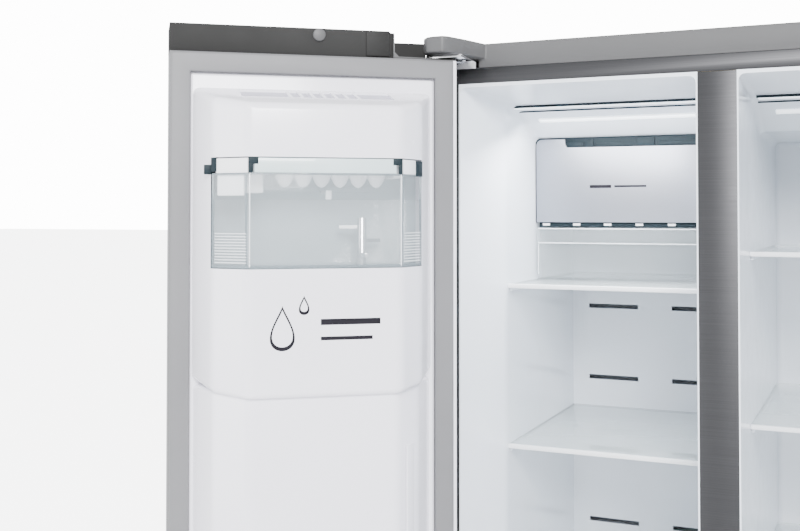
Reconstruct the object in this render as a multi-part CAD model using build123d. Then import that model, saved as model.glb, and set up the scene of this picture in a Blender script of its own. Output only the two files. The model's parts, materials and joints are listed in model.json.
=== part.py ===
"""Counter-depth side by side refrigerator with both doors standing open.

Frame: +Z up, front towards -Y, X to the right, origin on the floor under the middle of the whole object.
Door pieces are drawn with the door closed and hinged at u = 0, then hung on their pins and turned open.
u runs from the hinge edge, h from the door's inner face into the cabinet.
"""
from build123d import *
from math import cos, pi, radians, sin
import os

# Cabinet
CABINET_W = 912.0
CABINET_H = 1778.0
CABINET_D = 620.0
FRONT_Y = -72.0
STEEL_T = 1.2
LINER_T = 2.0
SIDE_WALL = 69.0
FLARE_WALL = 36.0
FLARE_DEPTH = 110.0
TRIM_H = 35.0
TRIM_D = 60.0
TOP_FLANGE = 24.0
BACK_WALL = 70.0
FREEZER_W = 300.0
MULLION_W = 54.0
CEILING_DROP_MID = 19.0
CEILING_DROP_BACK = 61.0
CEILING_MID_Y = 150.0
CEILING_BACK_Y = 259.0
FLOOR_Z = 100.0
BASE_Z = 45.0
PAN_DROP = 13.0
MACHINE_D = 220.0
MACHINE_H = 230.0
STEP_WALL = 55.0
SHEET_T = 4.0
BACK_PANEL_GAP = 54.0

# Doors
DOOR_T = 80.0
DOOR_GAP = 12.0
DOOR_BOTTOM = 64.0
DOOR_SPLIT = 5.0
SPLIT_SHIFT = 0.7
CAP_RISE = 7.0
CAP_DEPTH = 31.0
CAP_LOW = 20.0
RECESS_U = 81.0
RECESS_R = 9.0
RECESS_DROP = 28.0
RECESS_RIM = 4.5
RECESS_WALL_T = 1.2
STOP_U = (97.0, 129.5)
STOP_REACH = 3.0
PIN_U = 18.5
PIN_SETBACK = 50.4
PIN_R = 5.0
PIN_CLEARANCE = 0.05
PIN_L = 24.0
BOSS_WALL = 6.0
BOSS_H = 26.0
BOSS_LOW_H = 12.0
CHAMFER_U = 21.5
CHAMFER_H = 14.0
FAR_RADIUS = 8.0
GASKET_W = 27.0
GASKET_U = 7.0
GASKET_T = 11.6
GASKET_BASE_T = 5.0
GASKET_INSET = 7.0
FREEZER_OPEN = 141.84
FRIDGE_OPEN = 122.0
HANDLE_GAP = 40.0
HANDLE_T = 18.0
HANDLE_W = 24.0
HANDLE_L = 800.0
HANDLE_TOP_DROP = 278.0
HANDLE_EDGE = 42.0
HANDLE_POST = 30.0
HANDLE_POST_R = 8.0

# Hinges and their covers
LOBE_T = 22.0
LOBE_GAP = 2.0
PLATE_T = 4.0
PLATE_X = (7.0, 60.0)
PLATE_REACH = 18.0
BRACKET_X = (4.0, 48.0)
BRACKET_REACH = 16.0

# Ice housing, its bin and its ice maker, on the freezer door; drops are below the cabinet's top
BAY_D = 110.0
BAY_SHOULDER = 75.0
BAY_BASE = 37.0
BAY_KNEE = 34.0
BAY_CORNER = 69.0
BAY_FAR_KNEE = 24.0
BAY_FAR_CORNER = 65.0
BAY_SEAL_GAP = 0.5
HOUSING_TOP_DROP = 77.0
HOUSING_FRONT_TOP_DROP = 108.0
HOUSING_BOTTOM_DROP = 460.0
HOUSING_FRONT_BOTTOM_DROP = 474.0
HOUSING_T = 3.0
HOUSING_ROOF = 9.0
BIN_TOP_DROP = 175.0
BIN_H = 137.0
BIN_REAR_H = 86.0
BIN_T = 3.0
BIN_BACK_H = 14.0
BIN_BACK_INSET = 3.0
BIN_FAR_KNEE = 50.8
BIN_FAR_CORNER = 93.3
BIN_GAP = 1.0
RAIL_H = 19.0
RAIL_T = 6.0
TRAY_EDGE = (118.0, 130.8)
TRAY_AXIS_H = 62.0
TRAY_AXIS_DROP = 188.0
TRAY_D = 52.0
TRAY_T = 10.0
TRAY_LOBES = 6
LOBE_R = 11.0
CUP_WALL = 1.0
TRUNNION_R = 4.0
TRUNNION_OUT = (20.0, 24.0)
BEARING_U = (96.0, 108.0)
MOTOR_EDGE = (100.8, 58.8)
MOTOR_NOSE = 14.0
MOTOR_H = (24.0, 72.0)
STIRRER_AT = (146.0, 52.0)
STIRRER_R = 31.0
STIRRER_L = 62.0
ARM_PITCH = 18.0
SHAFT_R = 6.0
MOTOR_GAP = 11.0
BIN_MOTOR_R = 24.0
BIN_MOTOR_L = 70.0
CHUTE_AT = (210.0, 78.0)
CHUTE_R = 20.0
VENT_PITCH = 12.5
VENT_SLOT = 6.0
VENT_COUNT = 7
VENT_H = (40.0, 75.0)
VENT_LONG_H = (52.0, 60.0)
VENT_LONG = (50.0, 94.0)

# Dispenser
RECESS_W = 200.0
RECESS_H = 305.0
RECESS_DEPTH = 90.0
RECESS_TOP_GAP = 14.0
BEZEL_W = 14.0
BEZEL_T = 3.0
PANEL_H = 110.0
COLUMN_D = 100.0
COLUMN_INSET = 2.0
COLUMN_BELOW = 45.0
COLUMN_TOP_GAP = 2.0
PADDLE_DROP = 55.0
PADDLE_BACK = 20.0
PADDLE_L = 95.0
PADDLE_HALF = 28.0
PADDLE_PIN_R = 3.0
PADDLE_WALL = 4.0
PADDLE_PLATE = (7.0, 3.0)
EAR_X = (32.0, 38.0)
SPOUT_R = 24.0
SPOUT_T = 4.0
SPOUT_H = 40.0
SPOUT_BACK = 40.0
DRIP_T = 12.0
DRIP_BACK = 16.0
DRIP_SLOT = 7.0
DRIP_PITCH = 13.0
DRIP_FRONT = 2.0
DRIP_MARGIN = (12.0, 10.0, 8.0)
DRIP_FLOOR = 4.0

# Door storage
DIKE_BOTTOM = 110.0
DIKE_ROOT = 6.0
DIKE_W = 8.0
DIKE_D = 85.0
LOW_DIKE_D = 46.0
DIKE_COLUMN_GAP = 40.0
LOW_DIKE_TOP = 780.0
HIGH_DIKE_BOTTOM = 790.0
DAIRY_DROP = 106.0
DAIRY_H = 112.0
DAIRY_D = 92.0
DAIRY_T = 4.0
FLAP_T = 3.0
FLAP_GAP = 1.0
FLAP_PIN_R = 2.5
BASKET_D = 98.0
BASKET_H = 120.0
LOW_BASKET_D = 58.0
LOW_BASKET_H = 90.0
LOW_BASKET_Z = 575.0
MIDDLE_BASKET_Z = 860.0
BASKET_GAP = 1.5

# Shelves and drawers
SHELF_Y = 115.0
SHELF_T = 4.0
SHELF_TRIM_H = 7.0
SHELF_TRIM_D = 6.0
SHELF_TRIM_PROUD = 0.5
SHELF_BACK_GAP = 30.0
ICE_SHELF_DROP = 352.0
FREEZER_LOW_SHELF = 694.0
FRIDGE_TOP_SHELF_DROP = 298.0
DELI_SHELF = 780.0
CRISPER_SHELF = 590.0
DELI_ROOM = 220.0
ICE_PANEL_DROP = (259.0, 120.0)
ICE_SLOT_DROP = 137.0
ICE_SLOT_X = 52.0
ICE_BODY_INSET = 8.0
ICE_BODY_RISE = 6.0
CRAFT_BIN_H = 84.0
CRAFT_BAND_H = 25.0
TUB_T = 3.0
TUB_GAP = 6.0
FLANGE_T = 3.0
LIP_D = 14.0
LIP_INSET = 20.0
RAIL_CLEARANCE = 0.3
DRAWER_FRONT = 8.0
LOW_DRAWER_Z = (112.0, 325.0)
HIGH_DRAWER_Z = (345.0, 560.0)
DELI_DRAWER_Z = (630.0, 755.0)
LOW_DRAWER_BACK = 8.0
FREEZER_DRAWER_BACK = 11.0
CRISPER_BACK = 45.0
DELI_BACK = 75.0

# Air duct and lights
DUCT_SLOT_W = 90.0
DUCT_SLOT_H = 8.0
DUCT_SLOT_X = 75.0
DUCT_SLOT_PITCH = 100.0
DUCT_SLOT_ROWS = 5
DUCT_SLOT_GAP = 30.0
DUCT_SLOT_DROP = 66.0
LENS_Y = (140.0, 168.0)
LENS_T = 10.0

# Cooling machinery
COMPRESSOR_SHIFT = 18.0
COMPRESSOR_R = 82.0
COMPRESSOR_H = 120.0
COMPRESSOR_DOME = 40.0
COMPRESSOR_FOOT = (88.0, 48.0)
COMPRESSOR_PAD_R = 12.0
COMPRESSOR_PAD_H = 8.0
COMPRESSOR_PLATE_T = 6.0
MACHINE_MID = 120.0
CONDENSER_GAP = (60.0, 64.0)
CONDENSER_Y = (190.0, 30.0)
CONDENSER_TOP = 200.0
CONDENSER_ROWS = 6
CONDENSER_COLUMNS = 5
CONDENSER_MARGIN = (20.0, 24.0, 14.0)
TUBE_R = 4.0
FAN_X = 10.0
FAN_SHAFT_R = 3.0
WARM_SHAFT = (30.0, 11.0)
WARM_MOTOR = (50.0, 20.0, 22.0)
WARM_BRACKET = (6.0, 15.0)
COLD_SHAFT = (40.0, 15.0)
COLD_FAN_GAP = 22.0
COLD_MOTOR = (32.0, 18.0)
CONDENSER_FAN_RISE = 96.0
CONDENSER_FAN = (18.0, 70.0, 22.0, 2.5)
EVAPORATOR_FAN = (16.0, 55.0, 14.0, 2.0)
FAN_BLADES = 5
FAN_PITCH = 32.0
EVAPORATOR_FAN_Z = 1060.0
EVAPORATOR_Z = (320.0, 640.0)
EVAPORATOR_INSET = 20.0
EVAPORATOR_FINS = 14
EVAPORATOR_ROWS = 6
EVAPORATOR_PITCH = 52.0
EVAPORATOR_FIRST = 30.0
EVAPORATOR_D = 40.0
EVAPORATOR_PLATE_T = 4.0
EVAPORATOR_FIN_T = 2.0
COVER_ROWS = 9
COVER_PITCH = 17.0
COVER_SLOT = (170.0, 6.0)
COVER_COLUMNS = 3
COVER_COLUMN_PITCH = 210.0
COVER_FIRST = 60.0
COVER_SHIFT = 35.0
SERVICE_INSET = 86.0
GLAND_Z = 120.0
GLAND_R = 14.0
GLAND_HOLE_R = 5.0
VALVE_Z = 170.0
VALVE_HALF = (22.0, 25.0)
VALVE_Y = (60.0, 22.0)
INLET_R = 9.5
INLET_L = 14.0
WATERWAY_R = 5.0

# Toe grille
GRILLE_INSET = 60.0
GRILLE_Y = (-22.0, -18.0)
GRILLE_Z = (12.0, 58.0)
GRILLE_ROWS = 3
GRILLE_COLUMNS = 14
GRILLE_SLOT = (44.0, 4.0)
GRILLE_MARGIN = 30.0
GRILLE_FIRST = 6.0
GRILLE_PITCH = 9.0

# Running gear
ROLLER_R = 22.0
ROLLER_W = 30.0
AXLE_R = 5.0
ROLLER_BACK = 60.0
ROLLER_INSET = 84.0
ROLLER_GAP = 6.0
EAR_HALF = 16.0
EAR_BOTTOM = 10.0
FOOT_R = 20.0
FOOT_T = 6.0
NUT_R = 11.0
NUT_H = 8.0
STEM_R = 6.0
FOOT_INSET = 61.0
FOOT_Y = 45.0

# Places that follow from the sizes
LEFT = -CABINET_W / 2
RIGHT = CABINET_W / 2
BACK_Y = FRONT_Y + CABINET_D
DOOR_Y = FRONT_Y - DOOR_GAP
CASE_TOP = CABINET_H - TRIM_H
OPENING_TOP = CASE_TOP - TOP_FLANGE
DOOR_TOP = CABINET_H + CAP_RISE
CAP_BOTTOM = CABINET_H - CAP_DEPTH
SKIN_Z = (DOOR_BOTTOM + CAP_LOW, CAP_BOTTOM)
FREEZER_DOOR_W = SIDE_WALL + FREEZER_W + (MULLION_W - DOOR_SPLIT) / 2 - SPLIT_SHIFT
FRIDGE_DOOR_W = CABINET_W - FREEZER_DOOR_W - DOOR_SPLIT
FREEZER_X = (LEFT + SIDE_WALL, LEFT + SIDE_WALL + FREEZER_W)
FRIDGE_X = (FREEZER_X[1] + MULLION_W, RIGHT - SIDE_WALL)
ROOM_BACK = CABINET_D - BACK_WALL
MACHINE_Y = CABINET_D - MACHINE_D
MACHINE_FLOOR = BASE_Z - PAN_DROP
MACHINE_MID_Y = CABINET_D - MACHINE_MID
STEP_Y = MACHINE_Y - STEP_WALL
STEP_Z = MACHINE_H + STEP_WALL
BACK_PANEL_Y = ROOM_BACK - BACK_PANEL_GAP
FREEZER_MID = (FREEZER_X[0] + FREEZER_X[1]) / 2
PIN_H = PIN_SETBACK - DOOR_T
PIN_X = LEFT + PIN_U
PIN_Y = DOOR_Y + PIN_H
PLATE_TOP = CABINET_H - LOBE_T
HANDLE_Z = (CABINET_H - HANDLE_TOP_DROP - HANDLE_L, CABINET_H - HANDLE_TOP_DROP)
HOUSING_TOP = CABINET_H - HOUSING_TOP_DROP
HOUSING_FRONT_TOP = CABINET_H - HOUSING_FRONT_TOP_DROP
HOUSING_BOTTOM = CABINET_H - HOUSING_BOTTOM_DROP
HOUSING_FRONT_BOTTOM = CABINET_H - HOUSING_FRONT_BOTTOM_DROP
BAY_FAR = FREEZER_DOOR_W - GASKET_W - BAY_SEAL_GAP
BIN_TOP = CABINET_H - BIN_TOP_DROP
BIN_BOTTOM = BIN_TOP - BIN_H
BIN_CORNERS = (BAY_BASE + BAY_CORNER, FREEZER_DOOR_W - BIN_FAR_CORNER)
BIN_MOTOR_TOP = BIN_BOTTOM - MOTOR_GAP - HOUSING_T
TRAY_U = (TRAY_EDGE[0], FREEZER_DOOR_W - TRAY_EDGE[1])
TRAY_AXIS_Z = CABINET_H - TRAY_AXIS_DROP
MOTOR_U = (FREEZER_DOOR_W - MOTOR_EDGE[0], FREEZER_DOOR_W - MOTOR_EDGE[1])
DOOR_MID = FREEZER_DOOR_W / 2
RECESS_TOP = HOUSING_FRONT_BOTTOM - RECESS_TOP_GAP
RECESS_Z = (RECESS_TOP - RECESS_H, RECESS_TOP)
RECESS_BACK = RECESS_DEPTH - DOOR_T
FLARE_SLOPE = (SIDE_WALL - FLARE_WALL) / FLARE_DEPTH
DIKE_IN = BAY_BASE + FLARE_SLOPE * DIKE_D + DIKE_W + DIKE_ROOT
COLUMN_Z = (RECESS_Z[0] - COLUMN_BELOW, HOUSING_FRONT_BOTTOM - COLUMN_TOP_GAP)
PADDLE_H = RECESS_BACK - PADDLE_BACK
PADDLE_Z = RECESS_TOP - PADDLE_DROP
DAIRY_Z = (CABINET_H - DAIRY_DROP - DAIRY_H, CABINET_H - DAIRY_DROP)
ICE_PANEL_Z = (CABINET_H - ICE_PANEL_DROP[0], CABINET_H - ICE_PANEL_DROP[1])
ICE_SLOT_Z = CABINET_H - ICE_SLOT_DROP
ICE_SHELF = CABINET_H - ICE_SHELF_DROP
FREEZER_PITCH = (ICE_SHELF - FREEZER_LOW_SHELF) / 3
FREEZER_SHELVES = [ICE_SHELF - index * FREEZER_PITCH for index in range(4)]
FRIDGE_TOP_SHELF = CABINET_H - FRIDGE_TOP_SHELF_DROP
FRIDGE_PITCH = (FRIDGE_TOP_SHELF - DELI_SHELF - DELI_ROOM) / 2
FRIDGE_SHELVES = [FRIDGE_TOP_SHELF - index * FRIDGE_PITCH for index in range(3)]
FRIDGE_SHELVES += [DELI_SHELF, CRISPER_SHELF]
VALVE_X = LEFT + SERVICE_INSET
GLAND_X = RIGHT - SERVICE_INSET
CONDENSER_FAN_Z = MACHINE_FLOOR + CONDENSER_FAN_RISE
ROLLER_Y = CABINET_D - ROLLER_BACK
ROLLER_X = CABINET_W / 2 - ROLLER_INSET
COMPRESSOR_X = (FAN_X - COMPRESSOR_SHIFT - ROLLER_X) / 2
CONDENSER_X = (FAN_X + CONDENSER_GAP[0], ROLLER_X - CONDENSER_GAP[1])
FOOT_X = CABINET_W / 2 - FOOT_INSET
LOW_DRAWER_D = STEP_Y - SHELF_Y - LOW_DRAWER_BACK
FREEZER_DRAWERS = {
    "freezer_drawer_upper": (*HIGH_DRAWER_Z, BACK_PANEL_Y - SHELF_Y - FREEZER_DRAWER_BACK),
    "freezer_drawer_lower": (*LOW_DRAWER_Z, LOW_DRAWER_D),
}
FRIDGE_DRAWERS = {
    "deli_drawer": (*DELI_DRAWER_Z, ROOM_BACK - SHELF_Y - DELI_BACK),
    "crisper_upper": (*HIGH_DRAWER_Z, ROOM_BACK - SHELF_Y - CRISPER_BACK),
    "crisper_lower": (*LOW_DRAWER_Z, LOW_DRAWER_D),
}
OVER = 1.0


def block(x, y, z):
    """Box from three (low, high) pairs."""
    size = [high - low for low, high in (x, y, z)]
    middle = [(high + low) / 2 for low, high in (x, y, z)]
    return Pos(*middle) * Box(*size)


def depth_block(x, y, z):
    """Box whose y pair is measured back from the cabinet's front plane."""
    return block(x, (FRONT_Y + y[0], FRONT_Y + y[1]), z)


def prism(points, low, high):
    """Upright prism over an outline in plan."""
    face = Face(Wire.make_polygon([(x, y, low) for x, y in points]))
    return extrude(face, amount=high - low, dir=(0, 0, 1))


def side_prism(points, low, high):
    """Prism along X over an outline given as (y, z)."""
    face = Face(Wire.make_polygon([(low, y, z) for y, z in points]))
    return extrude(face, amount=high - low, dir=(1, 0, 0))


def front_prism(points, low, high):
    """Prism along Y over an outline given as (x, z)."""
    face = Face(Wire.make_polygon([(x, low, z) for x, z in points]))
    return extrude(face, amount=high - low, dir=(0, 1, 0))


def post(x, y, z, radius):
    """Upright cylinder between two heights."""
    return Pos(x, y, (z[0] + z[1]) / 2) * Cylinder(radius, z[1] - z[0])


def rod_x(x, y, z, radius):
    """Cylinder along X."""
    return Pos((x[0] + x[1]) / 2, y, z) * Rot(0, 90, 0) * Cylinder(radius, x[1] - x[0])


def rod_y(x, y, z, radius):
    """Cylinder along Y."""
    return Pos(x, (y[0] + y[1]) / 2, z) * Rot(90, 0, 0) * Cylinder(radius, y[1] - y[0])


def both_sides(shape):
    """The shape and its mirror image across the cabinet's middle."""
    return group([shape, mirror(shape, about=Plane.YZ)])


def group(shapes):
    """Separate solids kept side by side in one node."""
    solids = [solid for shape in shapes for solid in shape.solids()]
    return Compound(children=solids)


# ---------------------------------------------------------------- cabinet
def room_profile(grow):
    """Outline (y, z) of either compartment, grown outwards on all sides but the front."""
    front = -OVER if grow <= 0 else 0.0
    top = OPENING_TOP + grow
    return [
        (FRONT_Y + front, FLOOR_Z - grow),
        (FRONT_Y + STEP_Y + grow, FLOOR_Z - grow),
        (FRONT_Y + STEP_Y + grow, STEP_Z - grow),
        (FRONT_Y + ROOM_BACK + grow, STEP_Z - grow),
        (FRONT_Y + ROOM_BACK + grow, top - CEILING_DROP_BACK),
        (FRONT_Y + CEILING_BACK_Y, top - CEILING_DROP_BACK),
        (FRONT_Y + CEILING_MID_Y, top - CEILING_DROP_MID),
        (FRONT_Y + front, top),
    ]


def freezer_room(grow):
    """Space inside the freezer compartment, flared at its outer front edge."""
    low, high = FREEZER_X[0] - grow, FREEZER_X[1] + grow
    front = LEFT + FLARE_WALL - grow
    plan = [
        (front, FRONT_Y - OVER),
        (high, FRONT_Y - OVER),
        (high, BACK_Y),
        (low, BACK_Y),
        (low, FRONT_Y + FLARE_DEPTH),
        (front, FRONT_Y),
    ]
    return side_prism(room_profile(grow), front, high) & prism(plan, 0, CABINET_H)


def fridge_room(grow):
    """Space inside the fresh food compartment, flared at its outer front edge."""
    low, high = FRIDGE_X[0] - grow, FRIDGE_X[1] + grow
    front = RIGHT - FLARE_WALL + grow
    plan = [
        (low, FRONT_Y - OVER),
        (front, FRONT_Y - OVER),
        (front, FRONT_Y),
        (high, FRONT_Y + FLARE_DEPTH),
        (high, BACK_Y),
        (low, BACK_Y),
    ]
    return side_prism(room_profile(grow), low, front) & prism(plan, 0, CABINET_H)


def freezer_liner():
    return freezer_room(LINER_T) - freezer_room(0)


def fridge_liner():
    return fridge_room(LINER_T) - fridge_room(0)


def cabinet_shell():
    """Bent steel wrapper: two sides, top, and a flange round the front."""
    outer = depth_block((LEFT, RIGHT), (0, CABINET_D), (BASE_Z, CASE_TOP))
    inner = depth_block(
        (LEFT + STEEL_T, RIGHT - STEEL_T),
        (STEEL_T, CABINET_D + OVER),
        (BASE_Z - OVER, CASE_TOP - STEEL_T),
    )
    wrapper = outer - inner
    hole = depth_block(
        (LEFT + FLARE_WALL - LINER_T, RIGHT - FLARE_WALL + LINER_T),
        (-OVER, STEEL_T + OVER),
        (FLOOR_Z - LINER_T, OPENING_TOP + LINER_T),
    )
    return wrapper - hole


def center_mullion():
    """Insulated wall between the compartments, with its steel face level with the flange."""
    return side_prism(room_profile(LINER_T), FREEZER_X[1] + LINER_T, FRIDGE_X[0] - LINER_T)


def cabinet_insulation():
    """Foam in the walls, as one block per wall."""
    low, high = LEFT + STEEL_T, RIGHT - STEEL_T
    top = CASE_TOP - STEEL_T
    rear = CABINET_D - STEEL_T
    inner = (FREEZER_X[0] - LINER_T, FRIDGE_X[1] + LINER_T)
    rooms = freezer_room(LINER_T) + fridge_room(LINER_T) + center_mullion()
    low_top = OPENING_TOP - CEILING_DROP_BACK
    boxes = [
        ((low, inner[0]), (STEEL_T, MACHINE_Y), (BASE_Z, top)),
        ((low, inner[0]), (MACHINE_Y, rear), (MACHINE_H, top)),
        ((inner[1], high), (STEEL_T, MACHINE_Y), (BASE_Z, top)),
        ((inner[1], high), (MACHINE_Y, rear), (MACHINE_H, top)),
        (inner, (STEEL_T, rear), (low_top, top)),
        (inner, (STEEL_T, STEP_Y + LINER_T), (BASE_Z, FLOOR_Z)),
        (inner, (STEP_Y + LINER_T, MACHINE_Y), (BASE_Z, STEP_Z)),
        (inner, (MACHINE_Y, ROOM_BACK + LINER_T), (MACHINE_H, STEP_Z)),
        (inner, (ROOM_BACK + LINER_T, rear), (MACHINE_H, low_top)),
    ]
    return group([depth_block(*box) - rooms for box in boxes])


def rear_panel():
    """Sheet that closes the back of the cabinet above the machine compartment."""
    width = (LEFT + STEEL_T, RIGHT - STEEL_T)
    return depth_block(width, (CABINET_D - STEEL_T, CABINET_D), (MACHINE_H, CASE_TOP - STEEL_T))


def base_pan():
    """Pressed floor of the cabinet, stepped down under the machine compartment, with roller ears."""
    width = (LEFT + STEEL_T, RIGHT - STEEL_T)
    low = MACHINE_FLOOR - SHEET_T
    pan = depth_block(width, (STEEL_T, MACHINE_Y), (BASE_Z - SHEET_T, BASE_Z))
    pan += depth_block(width, (MACHINE_Y - SHEET_T, MACHINE_Y), (low, BASE_Z))
    pan += depth_block(width, (MACHINE_Y - SHEET_T, CABINET_D), (low, MACHINE_FLOOR))
    slot_x = ROLLER_W / 2 + SHEET_T
    slot_y = ROLLER_R + ROLLER_GAP
    for side in (-1, 1):
        middle = side * ROLLER_X
        well_y = (ROLLER_Y - slot_y, ROLLER_Y + slot_y)
        pan -= depth_block((middle - slot_x, middle + slot_x), well_y, (0, BASE_Z))
        ear_x = side * (ROLLER_X - slot_x - SHEET_T)
        ear_y = (ROLLER_Y - EAR_HALF, ROLLER_Y + EAR_HALF)
        pan += depth_block((ear_x - SHEET_T / 2, ear_x + SHEET_T / 2), ear_y, (EAR_BOTTOM, MACHINE_FLOOR))
        pan -= post(side * FOOT_X, FRONT_Y + FOOT_Y, (0, BASE_Z + OVER), STEM_R + PIN_CLEARANCE)
    return pan - rod_x((LEFT, RIGHT), FRONT_Y + ROLLER_Y, ROLLER_R, AXLE_R + PIN_CLEARANCE)


def lobe_outline():
    """Plan of the cover over one hinge, from the cabinet's side edge inwards."""
    tip = -(DOOR_GAP + DOOR_T - LOBE_GAP)
    left = [(0, 0), (1.5, tip + 50), (11, tip + 14), (20, tip + 3), (30, tip)]
    right = [(44, tip), (51, tip + 7), (63, tip + 43), (75, 0)]
    return [(LEFT + x, FRONT_Y + y) for x, y in left + right]


def top_cover():
    """Trim along the cabinet's top front edge, with a cover over each hinge."""
    bar = depth_block((LEFT, RIGHT), (0, TRIM_D), (CASE_TOP, CABINET_H))
    lobe = prism(lobe_outline(), PLATE_TOP, CABINET_H)
    cover = bar + lobe + mirror(lobe, about=Plane.YZ)
    seat_x = (LEFT + PLATE_X[0] - OVER, LEFT + PLATE_X[1] + 4 * OVER)
    seat = depth_block(seat_x, (-OVER, TRIM_D - 6 * OVER), (CASE_TOP - OVER, PLATE_TOP))
    return cover - seat - mirror(seat, about=Plane.YZ)


def top_hinges():
    """Hinge plates on the case, each with its downward pin."""
    x = (LEFT + PLATE_X[0], LEFT + PLATE_X[1])
    low = PLATE_TOP - PLATE_T
    rear = FRONT_Y + TRIM_D - 7 * OVER
    plate = block(x, (PIN_Y - PLATE_REACH, rear), (low, PLATE_TOP))
    foot = block(x, (FRONT_Y + OVER / 2, rear), (CASE_TOP, low))
    pin = post(PIN_X, PIN_Y, (low - PIN_L, low), PIN_R)
    return both_sides(plate + foot + pin)


def bottom_hinges():
    """Lower brackets with upward pins that carry the doors."""
    x = (LEFT + BRACKET_X[0], LEFT + BRACKET_X[1])
    high = DOOR_BOTTOM - PLATE_T
    plate = block(x, (PIN_Y - BRACKET_REACH, FRONT_Y), (high - PLATE_T, high))
    web = depth_block(x, (-PLATE_T, 0), (BASE_Z, high))
    collar = post(PIN_X, PIN_Y, (high, DOOR_BOTTOM - RAIL_CLEARANCE), PIN_R + PLATE_T)
    pin = post(PIN_X, PIN_Y, (high, DOOR_BOTTOM + PIN_L), PIN_R)
    return both_sides(plate + web + collar + pin)


def toe_grille():
    """Louvred cover under the doors."""
    x = (LEFT + GRILLE_INSET, RIGHT - GRILLE_INSET)
    grille = depth_block(x, GRILLE_Y, GRILLE_Z)
    grille += depth_block(x, (GRILLE_Y[0], 0), (BASE_Z + OVER, GRILLE_Z[1]))
    pitch = (x[1] - x[0] - 2 * GRILLE_MARGIN) / GRILLE_COLUMNS
    slot_w = min(GRILLE_SLOT[0], pitch - 2 * SHEET_T)
    for row in range(GRILLE_ROWS):
        z = GRILLE_Z[0] + GRILLE_FIRST + row * GRILLE_PITCH
        for column in range(GRILLE_COLUMNS):
            left = x[0] + GRILLE_MARGIN + column * pitch
            cut_y = (GRILLE_Y[0] - OVER, GRILLE_Y[1] + OVER)
            grille -= depth_block((left, left + slot_w), cut_y, (z, z + GRILLE_SLOT[1]))
    return grille


def machine_cover():
    """Louvred panel across the machine compartment, with the supply lead's gland."""
    width = (LEFT + STEEL_T, RIGHT - STEEL_T)
    through = (CABINET_D - SHEET_T - OVER, CABINET_D + OVER)
    cover = depth_block(width, (CABINET_D - SHEET_T, CABINET_D), (MACHINE_FLOOR, MACHINE_H))
    for row in range(COVER_ROWS):
        z = COVER_FIRST + row * COVER_PITCH
        for column in range(COVER_COLUMNS):
            middle = (column - 1) * COVER_COLUMN_PITCH - COVER_SHIFT
            slot = (middle - COVER_SLOT[0] / 2, middle + COVER_SLOT[0] / 2)
            cover -= depth_block(slot, through, (z, z + COVER_SLOT[1]))
    cover += rod_y(GLAND_X, (BACK_Y - SHEET_T, BACK_Y + GLAND_R - 6), GLAND_Z, GLAND_R)
    cover -= rod_y(GLAND_X, (BACK_Y - SHEET_T - OVER, BACK_Y + GLAND_R), GLAND_Z, GLAND_HOLE_R)
    return cover - rod_y(VALVE_X, (BACK_Y - SHEET_T - OVER, BACK_Y + OVER), VALVE_Z, INLET_R + 5)


def water_valve():
    """Solenoid body with the inlet stub that stands out of the rear cover."""
    x = (VALVE_X - VALVE_HALF[0], VALVE_X + VALVE_HALF[0])
    y = (CABINET_D - VALVE_Y[0], CABINET_D - VALVE_Y[1])
    body = depth_block(x, y, (VALVE_Z - VALVE_HALF[1], MACHINE_H))
    collar = rod_y(VALVE_X, (FRONT_Y + y[1], BACK_Y), VALVE_Z, INLET_R + 3)
    stub = rod_y(VALVE_X, (BACK_Y, BACK_Y + INLET_L), VALVE_Z, INLET_R)
    bore = rod_y(VALVE_X, (BACK_Y - INLET_L, BACK_Y + INLET_L + OVER), VALVE_Z, WATERWAY_R)
    return body + collar + stub - bore


def compressor():
    """Welded steel shell on four rubber-foot tabs."""
    x, y = COMPRESSOR_X, FRONT_Y + MACHINE_MID_Y
    low = MACHINE_FLOOR
    foot_x, foot_y = COMPRESSOR_FOOT
    plate = (low + COMPRESSOR_PAD_H, low + COMPRESSOR_PAD_H + COMPRESSOR_PLATE_T)
    top = low + COMPRESSOR_H
    shell = post(x, y, (plate[1], top), COMPRESSOR_R)
    dome = Pos(x, y, top) * Sphere(COMPRESSOR_R)
    shell += dome & post(x, y, (top, top + COMPRESSOR_DOME), COMPRESSOR_R)
    half_x, half_y = foot_x + COMPRESSOR_PAD_R, foot_y + COMPRESSOR_PAD_R
    shell += block((x - half_x, x + half_x), (y - half_y, y + half_y), plate)
    for side_x in (-1, 1):
        for side_y in (-1, 1):
            shell += post(x + side_x * foot_x, y + side_y * foot_y, (low, plate[0]), COMPRESSOR_PAD_R)
    return shell


def condenser_coil():
    """Tube and plate condenser beside the fan."""
    y = (CABINET_D - CONDENSER_Y[0], CABINET_D - CONDENSER_Y[1])
    z = (MACHINE_FLOOR, CONDENSER_TOP)
    low, high = CONDENSER_X
    coil = depth_block((low, low + 2 * TUBE_R), y, z) + depth_block((high - 2 * TUBE_R, high), y, z)
    side, below, above = CONDENSER_MARGIN
    row_pitch = (z[1] - z[0] - below - above) / (CONDENSER_ROWS - 1)
    column_pitch = (y[1] - y[0] - 2 * side) / (CONDENSER_COLUMNS - 1)
    for row in range(CONDENSER_ROWS):
        for column in range(CONDENSER_COLUMNS):
            tube_y = FRONT_Y + y[0] + side + column * column_pitch
            coil += rod_x((low + TUBE_R, high - TUBE_R), tube_y, z[0] + below + row * row_pitch, TUBE_R)
    return coil


def blades(hub_r, tip_r, chord, thick):
    """Fan rotor about +Z through the origin."""
    rotor = Cylinder(hub_r, chord)
    for index in range(FAN_BLADES):
        blade = Rot(FAN_PITCH, 0, 0) * Box(tip_r - hub_r + 6, chord * 1.6, thick)
        rotor += Rot(0, 0, index * 360 / FAN_BLADES) * Pos((hub_r + tip_r) / 2, 0, 0) * blade
    return rotor


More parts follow.
